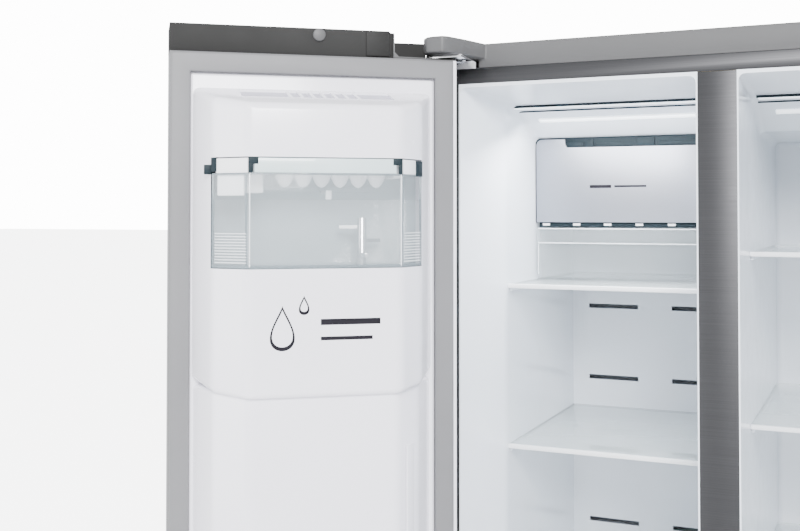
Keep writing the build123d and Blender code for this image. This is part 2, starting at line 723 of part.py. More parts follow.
def condenser_fan():
    """Fan that draws air across the condenser."""
    rotor = Pos(FAN_X, FRONT_Y + MACHINE_MID_Y, CONDENSER_FAN_Z) * Rot(0, 90, 0) * blades(*CONDENSER_FAN)
    return rotor - condenser_shaft(PIN_CLEARANCE)


def condenser_shaft(grow):
    x = (FAN_X - WARM_SHAFT[0], FAN_X + WARM_SHAFT[1])
    return rod_x(x, FRONT_Y + MACHINE_MID_Y, CONDENSER_FAN_Z, FAN_SHAFT_R + grow)


def evaporator_shaft(grow):
    rear = FRONT_Y + ROOM_BACK
    y = (rear - COLD_SHAFT[0], rear - COLD_SHAFT[1])
    return rod_y(FREEZER_MID, y, EVAPORATOR_FAN_Z, FAN_SHAFT_R + grow)


def evaporator_fan():
    """Fan that blows cold air through the back panel."""
    place = Pos(FREEZER_MID, FRONT_Y + ROOM_BACK - COLD_FAN_GAP, EVAPORATOR_FAN_Z)
    return place * Rot(90, 0, 0) * blades(*EVAPORATOR_FAN) - evaporator_shaft(PIN_CLEARANCE)


def fan_motors():
    """Motor behind the back panel and motor on a bracket beside the compressor, each with its shaft."""
    panel_back = FRONT_Y + BACK_PANEL_Y + SHEET_T
    motor_front = FRONT_Y + ROOM_BACK - COLD_MOTOR[0]
    cold = rod_y(FREEZER_MID, (panel_back, motor_front), EVAPORATOR_FAN_Z, COLD_MOTOR[1])
    cold += evaporator_shaft(0)
    far, near, radius = WARM_MOTOR
    thick, half = WARM_BRACKET
    warm = rod_x((FAN_X - far, FAN_X - near), FRONT_Y + MACHINE_MID_Y, CONDENSER_FAN_Z, radius)
    warm += condenser_shaft(0)
    bracket_x = (FAN_X - far, FAN_X - far + thick)
    bracket_y = (MACHINE_MID_Y - half, MACHINE_MID_Y + half)
    warm += depth_block(bracket_x, bracket_y, (MACHINE_FLOOR, CONDENSER_FAN_Z))
    return group([cold, warm])


def evaporator():
    """Finned coil behind the freezer's back panel."""
    low, high = FREEZER_X[0] + EVAPORATOR_INSET, FREEZER_X[1] - EVAPORATOR_INSET
    plate = EVAPORATOR_PLATE_T
    half = EVAPORATOR_FIN_T / 2
    coil = depth_block((low, high), (ROOM_BACK - plate, ROOM_BACK), EVAPORATOR_Z)
    for index in range(EVAPORATOR_FINS):
        x = low + plate + index * (high - low - 2 * plate) / (EVAPORATOR_FINS - 1)
        fin_y = (ROOM_BACK - EVAPORATOR_D, ROOM_BACK - plate / 2)
        coil += depth_block((x - half, x + half), fin_y, EVAPORATOR_Z)
    for row in range(EVAPORATOR_ROWS):
        z = EVAPORATOR_Z[0] + EVAPORATOR_FIRST + row * EVAPORATOR_PITCH
        coil += rod_x((low, high), FRONT_Y + ROOM_BACK - (EVAPORATOR_D + plate) / 2, z, TUBE_R)
    return coil


def freezer_back_panel():
    """Air duct cover across the back of the freezer, with louvres and a fan grille."""
    panel_y = (BACK_PANEL_Y, BACK_PANEL_Y + SHEET_T)
    panel = depth_block(FREEZER_X, panel_y, (STEP_Z, OPENING_TOP - CEILING_DROP_BACK))
    for row in range(DUCT_SLOT_ROWS):
        z = FREEZER_SHELVES[0] - DUCT_SLOT_DROP - row * (DUCT_SLOT_PITCH + DUCT_SLOT_GAP)
        for side in (-1, 1):
            middle = FREEZER_MID + side * DUCT_SLOT_X
            slot = (middle - DUCT_SLOT_W / 2, middle + DUCT_SLOT_W / 2)
            panel -= depth_block(slot, (panel_y[0] - OVER, panel_y[1] + OVER), (z, z + DUCT_SLOT_H))
    return panel


def light_bar(room, x):
    """Lens strip on the ceiling."""
    high = OPENING_TOP - CEILING_DROP_MID
    return depth_block(x, LENS_Y, (high - LENS_T, high + LENS_T)) & room


def interior_lights():
    """Ceiling light lenses of both compartments."""
    left = light_bar(freezer_room(0), (FREEZER_X[0] - 12, FREEZER_X[1] - 8))
    right = light_bar(fridge_room(0), (FRIDGE_X[0] + 12, FRIDGE_X[1] + 10))
    return group([left, right])


def ice_maker_panel():
    """Silver fascia of the round-ice maker, notched along its top."""
    panel = depth_block(FREEZER_X, (CEILING_BACK_Y, CEILING_BACK_Y + SHEET_T), ICE_PANEL_Z)
    notch = depth_block(
        (FREEZER_X[0] + ICE_SLOT_X, FREEZER_X[1] + OVER),
        (CEILING_BACK_Y - OVER, CEILING_BACK_Y + SHEET_T + OVER),
        (ICE_SLOT_Z, ICE_PANEL_Z[1] + OVER),
    )
    return panel - notch


def ice_maker_body():
    """Dark body of the round-ice maker behind its fascia, shown through the notch."""
    x = (FREEZER_X[0] + ICE_BODY_INSET, FREEZER_X[1])
    z = (ICE_PANEL_Z[0] + ICE_BODY_RISE, ICE_PANEL_Z[1])
    return depth_block(x, (CEILING_BACK_Y + SHEET_T, BACK_PANEL_Y), z)


def shelf(x, top, back):
    """Glass plate that spans a compartment behind its front trim."""
    return depth_block(x, (SHELF_Y + SHELF_TRIM_D, back), (top - SHELF_T, top))


def glass_shelves():
    """Glass plates of both compartments."""
    plates = [shelf(FREEZER_X, top, BACK_PANEL_Y) for top in FREEZER_SHELVES]
    plates += [shelf(FRIDGE_X, top, ROOM_BACK - SHELF_BACK_GAP) for top in FRIDGE_SHELVES]
    return group(plates)


def shelf_trims():
    """Moulded front edges of the glass shelves."""
    rows = [(FREEZER_X, top) for top in FREEZER_SHELVES] + [(FRIDGE_X, top) for top in FRIDGE_SHELVES]
    y = (SHELF_Y, SHELF_Y + SHELF_TRIM_D)
    proud = SHELF_TRIM_PROUD
    return group([depth_block(x, y, (top - SHELF_TRIM_H + proud, top + proud)) for x, top in rows])


# ---------------------------------------------------------------- drawers
def tub(x, y, z, rim):
    """Open-topped tub with side flanges that reach out by rim and a handle lip at the front."""
    outer = depth_block(x, y, z)
    inner_y = (y[0] + TUB_T, y[1] - TUB_T)
    inner = depth_block((x[0] + TUB_T, x[1] - TUB_T), inner_y, (z[0] + TUB_T, z[1] + OVER))
    body = outer - inner
    for low, high in ((x[0] - rim, x[0] + TUB_T), (x[1] - TUB_T, x[1] + rim)):
        body += depth_block((low, high), y, (z[1] - FLANGE_T, z[1]))
    lip_x = (x[0] + LIP_INSET, x[1] - LIP_INSET)
    body += depth_block(lip_x, (y[0] - LIP_D, y[0] + TUB_T), (z[1] - FLANGE_T, z[1]))
    return body


def drawer(x, low, high, depth):
    """Drawer centred in a compartment."""
    inside = (x[0] + TUB_GAP, x[1] - TUB_GAP)
    return tub(inside, (SHELF_Y + DRAWER_FRONT, SHELF_Y + depth), (low, high), TUB_GAP - 1.5 * OVER)


def rails(x, high, depth):
    """The pair of side rails under one drawer's flanges."""
    rail_top = high - FLANGE_T - RAIL_CLEARANCE
    z = (rail_top - 5 * OVER, rail_top)
    y = (SHELF_Y + DRAWER_FRONT + 2 * OVER, SHELF_Y + depth - 6 * OVER)
    reach = TUB_GAP - OVER / 2
    return [depth_block((x[0], x[0] + reach), y, z), depth_block((x[1] - reach, x[1]), y, z)]


def drawer_rails():
    """Rails for every drawer, on the compartments' side walls."""
    pieces = []
    for low, high, depth in FREEZER_DRAWERS.values():
        pieces += rails(FREEZER_X, high, depth)
    for low, high, depth in FRIDGE_DRAWERS.values():
        pieces += rails(FRIDGE_X, high, depth)
    return group(pieces)


def craft_ice_bin():
    """Clear tub on the top freezer shelf that catches the round ice."""
    x = (FREEZER_X[0] + TUB_GAP, FREEZER_X[1] - TUB_GAP)
    top = FREEZER_SHELVES[0]
    low = top + SHELF_TRIM_PROUD + RAIL_CLEARANCE
    high = top + CRAFT_BIN_H
    y = (CEILING_BACK_Y, BACK_PANEL_Y - 12 * OVER)
    outer = depth_block(x, y, (low, high))
    inner_y = (y[0] + TUB_T, y[1] - TUB_T)
    inner = depth_block((x[0] + TUB_T, x[1] - TUB_T), inner_y, (low + TUB_T, high + OVER))
    band_y = (y[0] - TUB_T, y[0] + TUB_T)
    band = depth_block((x[0] - 2 * OVER, x[1] + 2 * OVER), band_y, (high - CRAFT_BAND_H, high))
    return outer - inner + band


# ---------------------------------------------------------------- running gear
def rear_rollers():
    """Two wheels on one axle."""
    half = ROLLER_W / 2
    y = FRONT_Y + ROLLER_Y
    wheels = rod_x((-ROLLER_X - half, ROLLER_X + half), y, ROLLER_R, AXLE_R)
    for side in (-1, 1):
        wheels += rod_x((side * ROLLER_X - half, side * ROLLER_X + half), y, ROLLER_R, ROLLER_R)
    return wheels


def foot(side):
    """Levelling foot: pad and stem."""
    x, y = side * FOOT_X, FRONT_Y + FOOT_Y
    pad = post(x, y, (0, FOOT_T), FOOT_R)
    nut = extrude(Pos(x, y, FOOT_T) * RegularPolygon(NUT_R, 6), amount=NUT_H)
    return pad + nut + post(x, y, (FOOT_T, BASE_Z - 0.5), STEM_R)


# ---------------------------------------------------------------- doors, drawn closed with the hinge at u = 0
def door_plan(width, out, inset):
    """Plan of a door's section: chamfered on the hinge side, rounded on the far side."""
    far = width - inset
    arc = [
        (far - FAR_RADIUS + FAR_RADIUS * sin(radians(a)), out + FAR_RADIUS - FAR_RADIUS * cos(radians(a)))
        for a in range(0, 91, 15)
    ]
    return [(inset, 0), (inset, out + CHAMFER_H), (inset + CHAMFER_U, out)] + arc + [(far, 0)]


def door_skin(width, hole):
    """Steel outer skin, wrapped round both edges, with an opening for the dispenser if there is one."""
    outer = prism(door_plan(width, -DOOR_T, 0), *SKIN_Z)
    plan = door_plan(width, -DOOR_T + STEEL_T, STEEL_T)
    plan[0] = (STEEL_T, OVER)
    plan[-1] = (width - STEEL_T, OVER)
    skin = outer - prism(plan, SKIN_Z[0] - OVER, SKIN_Z[1] + OVER)
    return skin - hole if hole else skin


def pin_boss(z):
    """Bush wall round a hinge pin."""
    return post(PIN_U, PIN_H, z, PIN_R + BOSS_WALL)


def pin_hole(z):
    """Bore for a hinge pin."""
    return post(PIN_U, PIN_H, z, PIN_R + PIN_CLEARANCE)


def door_foam(width):
    """Foam core between the skin and the liner, cut away round the hinge bushes."""
    core = prism(door_plan(width, -DOOR_T + STEEL_T, STEEL_T), *SKIN_Z)
    core -= pin_boss((SKIN_Z[1] - BOSS_H, SKIN_Z[1] + OVER))
    return core - pin_boss((SKIN_Z[0] - OVER, SKIN_Z[0] + BOSS_LOW_H))


def top_cap(width):
    """Moulded end cap, cut away round the hinge, with a stop block beside the cut."""
    floor = CABINET_H - RECESS_DROP
    rim = CABINET_H + RECESS_RIM
    corner = RECESS_U + RECESS_R
    arc = [
        (RECESS_U + RECESS_R * sin(radians(a)), floor + RECESS_R - RECESS_R * cos(radians(a)))
        for a in range(0, 91, 15)
    ]
    ends = [(corner, rim), (corner + 5, rim), (corner + 7, DOOR_TOP), (width, DOOR_TOP), (width, CAP_BOTTOM)]
    cap = front_prism([(0, CAP_BOTTOM), (0, floor)] + arc + ends, -DOOR_T, 0)
    cap += block((CHAMFER_U + 2, corner + OVER), (-DOOR_T, -DOOR_T + RECESS_WALL_T), (floor - OVER, rim))
    cap &= prism(door_plan(width, -DOOR_T, 0), CAP_BOTTOM - OVER, DOOR_TOP + OVER)
    cap += block(STOP_U, (-CAP_LOW, STOP_REACH), (CAP_BOTTOM + 3, DOOR_TOP - 1.5))
    cap += pin_boss((CAP_BOTTOM - BOSS_H, CAP_BOTTOM))
    return cap - pin_hole((CAP_BOTTOM - BOSS_H + 3, CABINET_H))


def bottom_cap(width):
    """Lower end cap with the bush for the lower pin."""
    cap = prism(door_plan(width, -DOOR_T, 0), DOOR_BOTTOM, SKIN_Z[0])
    cap += pin_boss((SKIN_Z[0], SKIN_Z[0] + BOSS_LOW_H))
    return cap - pin_hole((DOOR_BOTTOM - OVER, DOOR_BOTTOM + PIN_L + 2))


def door_caps(width):
    return group([top_cap(width), bottom_cap(width)])


def gasket_frame(width, inset, low, high):
    """Rectangular frame seen on the door's inner face, inset from the gasket's outer edge."""
    z = (DOOR_BOTTOM + GASKET_U, CAP_BOTTOM)
    inner = GASKET_W - inset
    outer = block((GASKET_U + inset, width - inset), (low, high), (z[0] + inset, z[1] - inset))
    hole = block((GASKET_U + inner, width - inner), (low - OVER, high + OVER), (z[0] + inner, z[1] - inner))
    return outer - hole


def door_gasket(width):
    """Magnetic seal: a base strip and the bulb that meets the cabinet flange."""
    base = gasket_frame(width, 0, LINER_T, LINER_T + GASKET_BASE_T)
    return base + gasket_frame(width, GASKET_INSET, LINER_T, GASKET_T)


def dikes(width, low, high, depth):
    """Raised pan edges down both sides of a door liner, sloped like the compartment's flared wall."""
    outer = BAY_BASE + FLARE_SLOPE * depth
    inner = outer + DIKE_W
    plan = [(BAY_BASE, LINER_T), (inner + DIKE_ROOT, LINER_T), (inner, depth), (outer, depth)]
    ridge = prism(plan, low, high)
    return ridge + Pos(width, 0, 0) * mirror(ridge, about=Plane.YZ)


def bay_plan(grow, depth):
    """Plan of the bay on the freezer door: two slanted shoulders and a flat front."""
    shoulder = depth - BAY_D + BAY_SHOULDER
    return [
        (BAY_BASE - grow, LINER_T),
        (BAY_BASE + BAY_KNEE - grow, shoulder),
        (BAY_BASE + BAY_CORNER - grow / 2, depth + grow),
        (BAY_FAR - BAY_FAR_CORNER + grow / 2, depth + grow),
        (BAY_FAR - BAY_FAR_KNEE + grow, shoulder),
        (BAY_FAR + grow, LINER_T),
    ]


def bay(grow):
    """Solid of the ice housing, grown or shrunk."""
    profile = [
        (LINER_T, HOUSING_BOTTOM - grow),
        (BAY_D + grow, HOUSING_FRONT_BOTTOM - grow),
        (BAY_D + grow, HOUSING_FRONT_TOP + grow),
        (LINER_T, HOUSING_TOP + grow),
    ]
    z = (HOUSING_FRONT_BOTTOM - HOUSING_ROOF, HOUSING_TOP + HOUSING_ROOF)
    return side_prism(profile, 0, FREEZER_DOOR_W) & prism(bay_plan(grow, BAY_D), *z)


def bin_plan(grow):
    """Plan of the ice bin; grow is outwards."""
    knees = (BAY_BASE + BAY_KNEE, FREEZER_DOOR_W - BIN_FAR_KNEE)
    shoulder = BAY_SHOULDER + grow / 3
    return [
        (knees[0] + BIN_BACK_INSET - grow, BIN_BACK_H - grow),
        (knees[1] - BIN_BACK_INSET + grow, BIN_BACK_H - grow),
        (knees[1] + grow, shoulder),
        (BIN_CORNERS[1] + grow / 2, BAY_D + grow),
        (BIN_CORNERS[0] - grow / 2, BAY_D + grow),
        (knees[0] - grow, shoulder),
    ]


def ice_housing():
    """Hollow bay that holds the ice maker and its bin, with a window, roof vents and a chute hole."""
    shell = bay(0) - bay(-HOUSING_T)
    shell -= prism(bin_plan(BIN_GAP), BIN_BOTTOM - BIN_GAP, BIN_TOP + BIN_GAP)
    roof = (HOUSING_FRONT_TOP, HOUSING_TOP + OVER)
    middle = (BAY_BASE + BAY_FAR) / 2
    first = middle - (VENT_COUNT - 1) * VENT_PITCH / 2 - VENT_SLOT / 2
    for index in range(VENT_COUNT):
        u = first + index * VENT_PITCH
        shell -= block((u, u + VENT_SLOT), VENT_H, roof)
    near, far = VENT_LONG
    for slot in ((middle - far, middle - near), (middle + near, middle + far)):
        shell -= block(slot, VENT_LONG_H, roof)
    shell += prism(bay_plan(-HOUSING_T / 2, BAY_D), BIN_MOTOR_TOP, BIN_MOTOR_TOP + HOUSING_T)
    return shell - post(*CHUTE_AT, (HOUSING_FRONT_BOTTOM - CHUTE_R, BIN_BOTTOM), CHUTE_R + 2)


def ice_bin():
    """Clear bin with a high front, low back and sides, and an outlet in its floor."""
    floor = (BIN_BOTTOM - OVER, BIN_BOTTOM + 2 * BIN_T)
    outer = prism(bin_plan(0), BIN_BOTTOM, BIN_TOP)
    inner = prism(bin_plan(-BIN_T), BIN_BOTTOM + BIN_T, BIN_TOP + OVER)
    low_back = block((0, FREEZER_DOOR_W), (0, BAY_SHOULDER), (BIN_BOTTOM + BIN_REAR_H, BIN_TOP + OVER))
    tub = outer - inner - low_back
    tub -= post(*CHUTE_AT, floor, CHUTE_R)
    tub -= post(*STIRRER_AT, floor, SHAFT_R + PIN_CLEARANCE)
    return tub - rail_block(OVER)


def rail_block(above):
    """Strip along the top of the bin's front, reaching above it by the given height."""
    return block(BIN_CORNERS, (BAY_D - RAIL_T, BAY_D), (BIN_TOP - RAIL_H, BIN_TOP + above))


def ice_bin_rail():
    """Front rail let into the top edge of the bin."""
    return rail_block(0)


def ice_tray():
    """Tray with a row of round cups, on trunnions along u."""
    top = TRAY_AXIS_Z + 2 * TRUNNION_R
    low = top - TRAY_T
    deck = block(TRAY_U, (TRAY_AXIS_H - TRAY_D / 2, TRAY_AXIS_H + TRAY_D / 2), (low, top))
    pitch = (TRAY_U[1] - TRAY_U[0]) / TRAY_LOBES
    middles = [TRAY_U[0] + (index + 0.5) * pitch for index in range(TRAY_LOBES)]
    for u in middles:
        cup = Pos(u, TRAY_AXIS_H, low) * Sphere(LOBE_R + CUP_WALL)
        deck += cup & block(TRAY_U, (0, BAY_D), (top - 3 * TRAY_T, top - TRAY_T / 2))
    for u in middles:
        deck -= Pos(u, TRAY_AXIS_H, top) * Sphere(LOBE_R - CUP_WALL)
    reach = (TRAY_U[0] - TRUNNION_OUT[0], TRAY_U[1] + TRUNNION_OUT[1])
    return deck + rod_x(reach, TRAY_AXIS_H, TRAY_AXIS_Z, TRUNNION_R)


def ice_motors():
    """Gear motor that turns the tray, the tray's far bearing, and the stirrer's motor under the bin."""
    u0, u1 = MOTOR_U
    bore_r = TRUNNION_R + PIN_CLEARANCE
    motor = block((u0 - MOTOR_NOSE, u1), MOTOR_H, (TRAY_AXIS_Z - 30, TRAY_AXIS_Z + 14))
    motor -= rod_x((u0 - MOTOR_NOSE - OVER, u0 - TRUNNION_R), TRAY_AXIS_H, TRAY_AXIS_Z, bore_r)
    motor += block((u0, u1), (LINER_T, MOTOR_H[0]), (TRAY_AXIS_Z - 20, TRAY_AXIS_Z + 8))
    bearing = block(BEARING_U, (LINER_T, MOTOR_H[1]), (TRAY_AXIS_Z - 10, TRAY_AXIS_Z + 10))
    bearing -= rod_x((BEARING_U[0] - OVER, BEARING_U[1] + OVER), TRAY_AXIS_H, TRAY_AXIS_Z, bore_r)
    can = post(*STIRRER_AT, (BIN_MOTOR_TOP - BIN_MOTOR_L, BIN_MOTOR_TOP), BIN_MOTOR_R)
    return group([motor, bearing, can])


def ice_stirrer():
    """Shaft and three arms that move the ice towards the bin's outlet."""
    shaft = post(*STIRRER_AT, (BIN_BOTTOM, BIN_BOTTOM + STIRRER_L), SHAFT_R)
    for index in range(3):
        arm = Rot(0, 0, index * 120 + 90) * Pos(STIRRER_R / 2, 0, 0) * Box(STIRRER_R, 4, 5)
        shaft += Pos(*STIRRER_AT, BIN_BOTTOM + 14 + index * ARM_PITCH) * arm
    return shaft


def recess_u():
    return (DOOR_MID - RECESS_W / 2, DOOR_MID + RECESS_W / 2)


def dispenser_recess(grow):
    """Space of the dispenser recess."""
    u = (DOOR_MID - RECESS_W / 2 - grow, DOOR_MID + RECESS_W / 2 + grow)
    return block(u, (-DOOR_T - OVER, RECESS_BACK + grow), (RECESS_Z[0] - grow, RECESS_Z[1] + grow))


def dispenser_housing():
    """Recess liner with its bezel, control panel and ice spout."""
    u = recess_u()
    face = (-DOOR_T - BEZEL_T, -DOOR_T)
    shell = dispenser_recess(HOUSING_T) & block((0, FREEZER_DOOR_W), (-DOOR_T, BAY_D), (0, CABINET_H))
    shell += block((u[0] - BEZEL_W, u[1] + BEZEL_W), face, (RECESS_Z[0] - BEZEL_W, RECESS_TOP + PANEL_H))
    shell -= dispenser_recess(0) + block(u, (face[0] - OVER, face[1]), RECESS_Z)
    spout_h = RECESS_BACK - SPOUT_BACK
    spout = post(DOOR_MID, spout_h, (RECESS_TOP - SPOUT_H, RECESS_TOP), SPOUT_R)
    spout -= post(DOOR_MID, spout_h, (RECESS_TOP - SPOUT_H - OVER, RECESS_TOP - 2 * OVER), SPOUT_R - SPOUT_T)
    ear = block(EAR_X, (PADDLE_H - 5, RECESS_BACK + OVER), (PADDLE_Z - 5, PADDLE_Z + 5))
    for piece in (ear, mirror(ear, about=Plane.YZ)):
        shell += Pos(DOOR_MID, 0, 0) * piece
    reach = (DOOR_MID - EAR_X[1] + 2, DOOR_MID + EAR_X[1] - 2)
    return shell + spout + rod_x(reach, PADDLE_H, PADDLE_Z, PADDLE_PIN_R)


def dispenser_paddle():
    """Lever at the back of the recess, hung on a rod between two ears."""
    u = (DOOR_MID - PADDLE_HALF, DOOR_MID + PADDLE_HALF)
    plate_h = (PADDLE_H - PADDLE_PLATE[0], PADDLE_H - PADDLE_PLATE[1])
    plate = block(u, plate_h, (PADDLE_Z - PADDLE_L, PADDLE_Z))
    barrel = rod_x(u, PADDLE_H, PADDLE_Z, PADDLE_PIN_R + PADDLE_WALL)
    bore = (u[0] - OVER, u[1] + OVER)
    return plate + barrel - rod_x(bore, PADDLE_H, PADDLE_Z, PADDLE_PIN_R + PIN_CLEARANCE)


def drip_tray():
    """Grid tray at the foot of the recess."""
    u = recess_u()
    rear = RECESS_BACK - DRIP_BACK
    floor = RECESS_Z[0]
    top = floor + DRIP_T
    side, front, back = DRIP_MARGIN
    tray = block((u[0] + OVER, u[1] - OVER), (DRIP_FRONT - DOOR_T, rear), (floor + RAIL_CLEARANCE, top))
    for index in range(int((RECESS_W - 2 * DRIP_PITCH) / DRIP_PITCH) + 1):
        slot = u[0] + side + index * DRIP_PITCH
        hole = (front - DOOR_T, rear - back)
        tray -= block((slot, slot + DRIP_SLOT), hole, (floor + DRIP_FLOOR, top + OVER))
    return tray


def column(grow):
    """Bulge of the door liner behind the dispenser, grown or shrunk, open towards the door."""
    z = (COLUMN_Z[0] - grow, COLUMN_Z[1] + grow)
    plan = bay_plan(grow - COLUMN_INSET, COLUMN_D)
    return prism(plan, *z) + block((plan[0][0], plan[-1][0]), (0, LINER_T), z)


def freezer_door_liner():
    """Vacuum-formed inner skin with the dispenser bulge and the basket dikes."""
    sheet = block((STEEL_T, FREEZER_DOOR_W - STEEL_T), (0, LINER_T), SKIN_Z)
    liner = sheet + column(0) - column(-LINER_T)
    return liner + dikes(FREEZER_DOOR_W, DIKE_BOTTOM, COLUMN_Z[0] - DIKE_COLUMN_GAP, DIKE_D)


def freezer_door_foam():
    """Foam core of the freezer door, filling the dispenser bulge."""
    return door_foam(FREEZER_DOOR_W) + column(-LINER_T) - dispenser_recess(HOUSING_T)


def dairy_box():
    """Open-fronted box across the top of the fresh food door."""
    side = BAY_BASE + FLARE_SLOPE * DAIRY_D + 2 * OVER
    u = (side, FRIDGE_DOOR_W - side)
    inner_u = (u[0] + DAIRY_T, u[1] - DAIRY_T)
    box = block(u, (LINER_T, DAIRY_D), DAIRY_Z)
    return box - block(inner_u, (LINER_T, DAIRY_D + OVER), (DAIRY_Z[0] + DAIRY_T, DAIRY_Z[1] - DAIRY_T))


def fridge_door_liner():
    """Inner skin with side dikes and the walls of the dairy box."""
    liner = block((STEEL_T, FRIDGE_DOOR_W - STEEL_T), (0, LINER_T), SKIN_Z)
    liner += dikes(FRIDGE_DOOR_W, DIKE_BOTTOM, LOW_DIKE_TOP, LOW_DIKE_D)
    liner += dikes(FRIDGE_DOOR_W, HIGH_DIKE_BOTTOM, DAIRY_Z[1], DIKE_D)
    return liner + dairy_box()


def dairy_flap():
    """Clear lid of the dairy box, hung on a round bead along its top edge."""
    side = BAY_BASE + FLARE_SLOPE * DAIRY_D + 2 * OVER + DAIRY_T + FLAP_GAP
    u = (side, FRIDGE_DOOR_W - side)
    front = DAIRY_D - FLAP_GAP
    bead_z = DAIRY_Z[1] - DAIRY_T - FLAP_GAP - FLAP_PIN_R
    lid = block(u, (front - FLAP_T, front), (DAIRY_Z[0] + DAIRY_T + FLAP_GAP, bead_z))
    return lid + rod_x(u, front - FLAP_PIN_R, bead_z, FLAP_PIN_R)


def basket(width, low, height, depth):
    """Clear door basket between the dikes."""
    u = (DIKE_IN + BASKET_GAP, width - DIKE_IN - BASKET_GAP)
    h = (LINER_T + OVER, depth)
    inner_h = (h[0] + TUB_T, h[1] - TUB_T)
    outer = block(u, h, (low, low + height))
    return outer - block((u[0] + TUB_T, u[1] - TUB_T), inner_h, (low + TUB_T, low + height + OVER))


def freezer_baskets():
    """Two baskets, evenly spaced between the foot of the dikes and the dispenser bulge."""
    gap = (COLUMN_Z[0] - DIKE_BOTTOM - 2 * BASKET_H) / 3
    lower = DIKE_BOTTOM + gap
    return {
        "freezer_basket_lower": basket(FREEZER_DOOR_W, lower, BASKET_H, BASKET_D),
        "freezer_basket_upper": basket(FREEZER_DOOR_W, lower + BASKET_H + gap, BASKET_H, BASKET_D),
    }


def fridge_baskets():
    """Two deep baskets over a shallow one that clears the drawers."""
    upper = (MIDDLE_BASKET_Z + BASKET_H + DAIRY_Z[0] - BASKET_H) / 2
    return {
        "fridge_basket_upper": basket(FRIDGE_DOOR_W, upper, BASKET_H, BASKET_D),
        "fridge_basket_middle": basket(FRIDGE_DOOR_W, MIDDLE_BASKET_Z, BASKET_H, BASKET_D),
        "fridge_basket_lower": basket(FRIDGE_DOOR_W, LOW_BASKET_Z, LOW_BASKET_H, LOW_BASKET_D),
    }


def door_handle(width):
    """Upright bar on two posts."""
    u = width - HANDLE_EDGE
    h = -DOOR_T - HANDLE_GAP - HANDLE_T
    bar = block((u - HANDLE_W / 2, u + HANDLE_W / 2), (h, h + HANDLE_T), HANDLE_Z)
    bar = fillet(bar.edges().filter_by(Axis.Z), HANDLE_T / 3)
    for z in (HANDLE_Z[0] + HANDLE_POST, HANDLE_Z[1] - HANDLE_POST):
        bar += rod_y(u, (h + HANDLE_T / 2, -DOOR_T), z, HANDLE_POST_R)
    return bar


def turn(shape, x, angle):
    """Turn each solid of a placed door piece about the upright pin at x."""
    pin = Axis((x, PIN_Y, 0), (0, 0, 1))
    turned = [solid.rotate(pin, angle) for solid in shape.solids()]
    return turned[0] if len(turned) == 1 else Compound(children=turned)


def hang_freezer(shape):
    """Place a closed freezer door piece and turn it open about its pin."""
    return turn(Pos(LEFT, DOOR_Y, 0) * shape, PIN_X, -FREEZER_OPEN)


def hang_fridge(shape):
    """Mirror and place a closed fresh food door piece and turn it open about its pin."""
    return turn(Pos(RIGHT, DOOR_Y, 0) * mirror(shape, about=Plane.YZ), -PIN_X, FRIDGE_OPEN)


def cabinet_nodes():
    """Everything that stands with the cabinet, and what moves in it."""
    nodes = {
        "cabinet_shell": cabinet_shell(),
        "rear_covers": group([rear_panel(), machine_cover()]),
        "cabinet_insulation": cabinet_insulation(),
        "freezer_liner": freezer_liner(),
        "fridge_liner": fridge_liner(),
        "center_mullion": center_mullion(),
        "top_cover": top_cover(),
        "door_hinges": group([top_hinges(), bottom_hinges()]),
        "toe_grille": toe_grille(),
        "base_pan": base_pan(),
        "compressor": compressor(),
        "condenser_coil": condenser_coil(),
        "water_valve": water_valve(),
        "evaporator": evaporator(),
        "freezer_back_panel": freezer_back_panel(),
        "interior_lights": interior_lights(),
        "ice_maker_panel": ice_maker_panel(),
        "ice_maker_body": ice_maker_body(),
        "glass_shelves": glass_shelves(),
        "shelf_trims": shelf_trims(),
        "drawer_rails": drawer_rails(),
        "craft_ice_bin": craft_ice_bin(),
        "fan_motors": fan_motors(),
        "evaporator_fan": evaporator_fan(),
        "condenser_fan": condenser_fan(),
        "rear_rollers": rear_rollers(),
        "left_foot": foot(-1),
        "right_foot": foot(1),
    }
    for name, sizes in FREEZER_DRAWERS.items():
        nodes[name] = drawer(FREEZER_X, *sizes)
    for name, sizes in FRIDGE_DRAWERS.items():
        nodes[name] = drawer(FRIDGE_X, *sizes)
    return nodes


def freezer_door_nodes():
    """Pieces of the freezer door, closed."""
    return {
        "freezer_door_skin": door_skin(FREEZER_DOOR_W, dispenser_recess(HOUSING_T)),
        "freezer_door_foam": freezer_door_foam(),
        "freezer_door_liner": freezer_door_liner(),
        "freezer_door_caps": door_caps(FREEZER_DOOR_W),
        "freezer_door_gasket": door_gasket(FREEZER_DOOR_W),
        "freezer_door_handle": door_handle(FREEZER_DOOR_W),
        "ice_housing": ice_housing(),
        "ice_motors": ice_motors(),
        "ice_tray": ice_tray(),
        "ice_bin": ice_bin(),
        "ice_bin_rail": ice_bin_rail(),
        "ice_stirrer": ice_stirrer(),
        "dispenser_housing": dispenser_housing(),
        "dispenser_paddle": dispenser_paddle(),
        "drip_tray": drip_tray(),
        **freezer_baskets(),
    }


def fridge_door_nodes():
    """Pieces of the fresh food door, closed."""
    return {
        "fridge_door_skin": door_skin(FRIDGE_DOOR_W, None),
        "fridge_door_foam": door_foam(FRIDGE_DOOR_W),
        "fridge_door_liner": fridge_door_liner(),
        "fridge_door_caps": door_caps(FRIDGE_DOOR_W),
        "fridge_door_gasket": door_gasket(FRIDGE_DOOR_W),
        "fridge_door_handle": door_handle(FRIDGE_DOOR_W),
        "dairy_flap": dairy_flap(),
        **fridge_baskets(),
    }


def main():
    os.makedirs("parts", exist_ok=True)
    nodes = cabinet_nodes()
    nodes.update({name: hang_freezer(shape) for name, shape in freezer_door_nodes().items()})
    nodes.update({name: hang_fridge(shape) for name, shape in fridge_door_nodes().items()})
    for name, shape in nodes.items():
        export_step(shape, f"parts/{name}.step")


main()
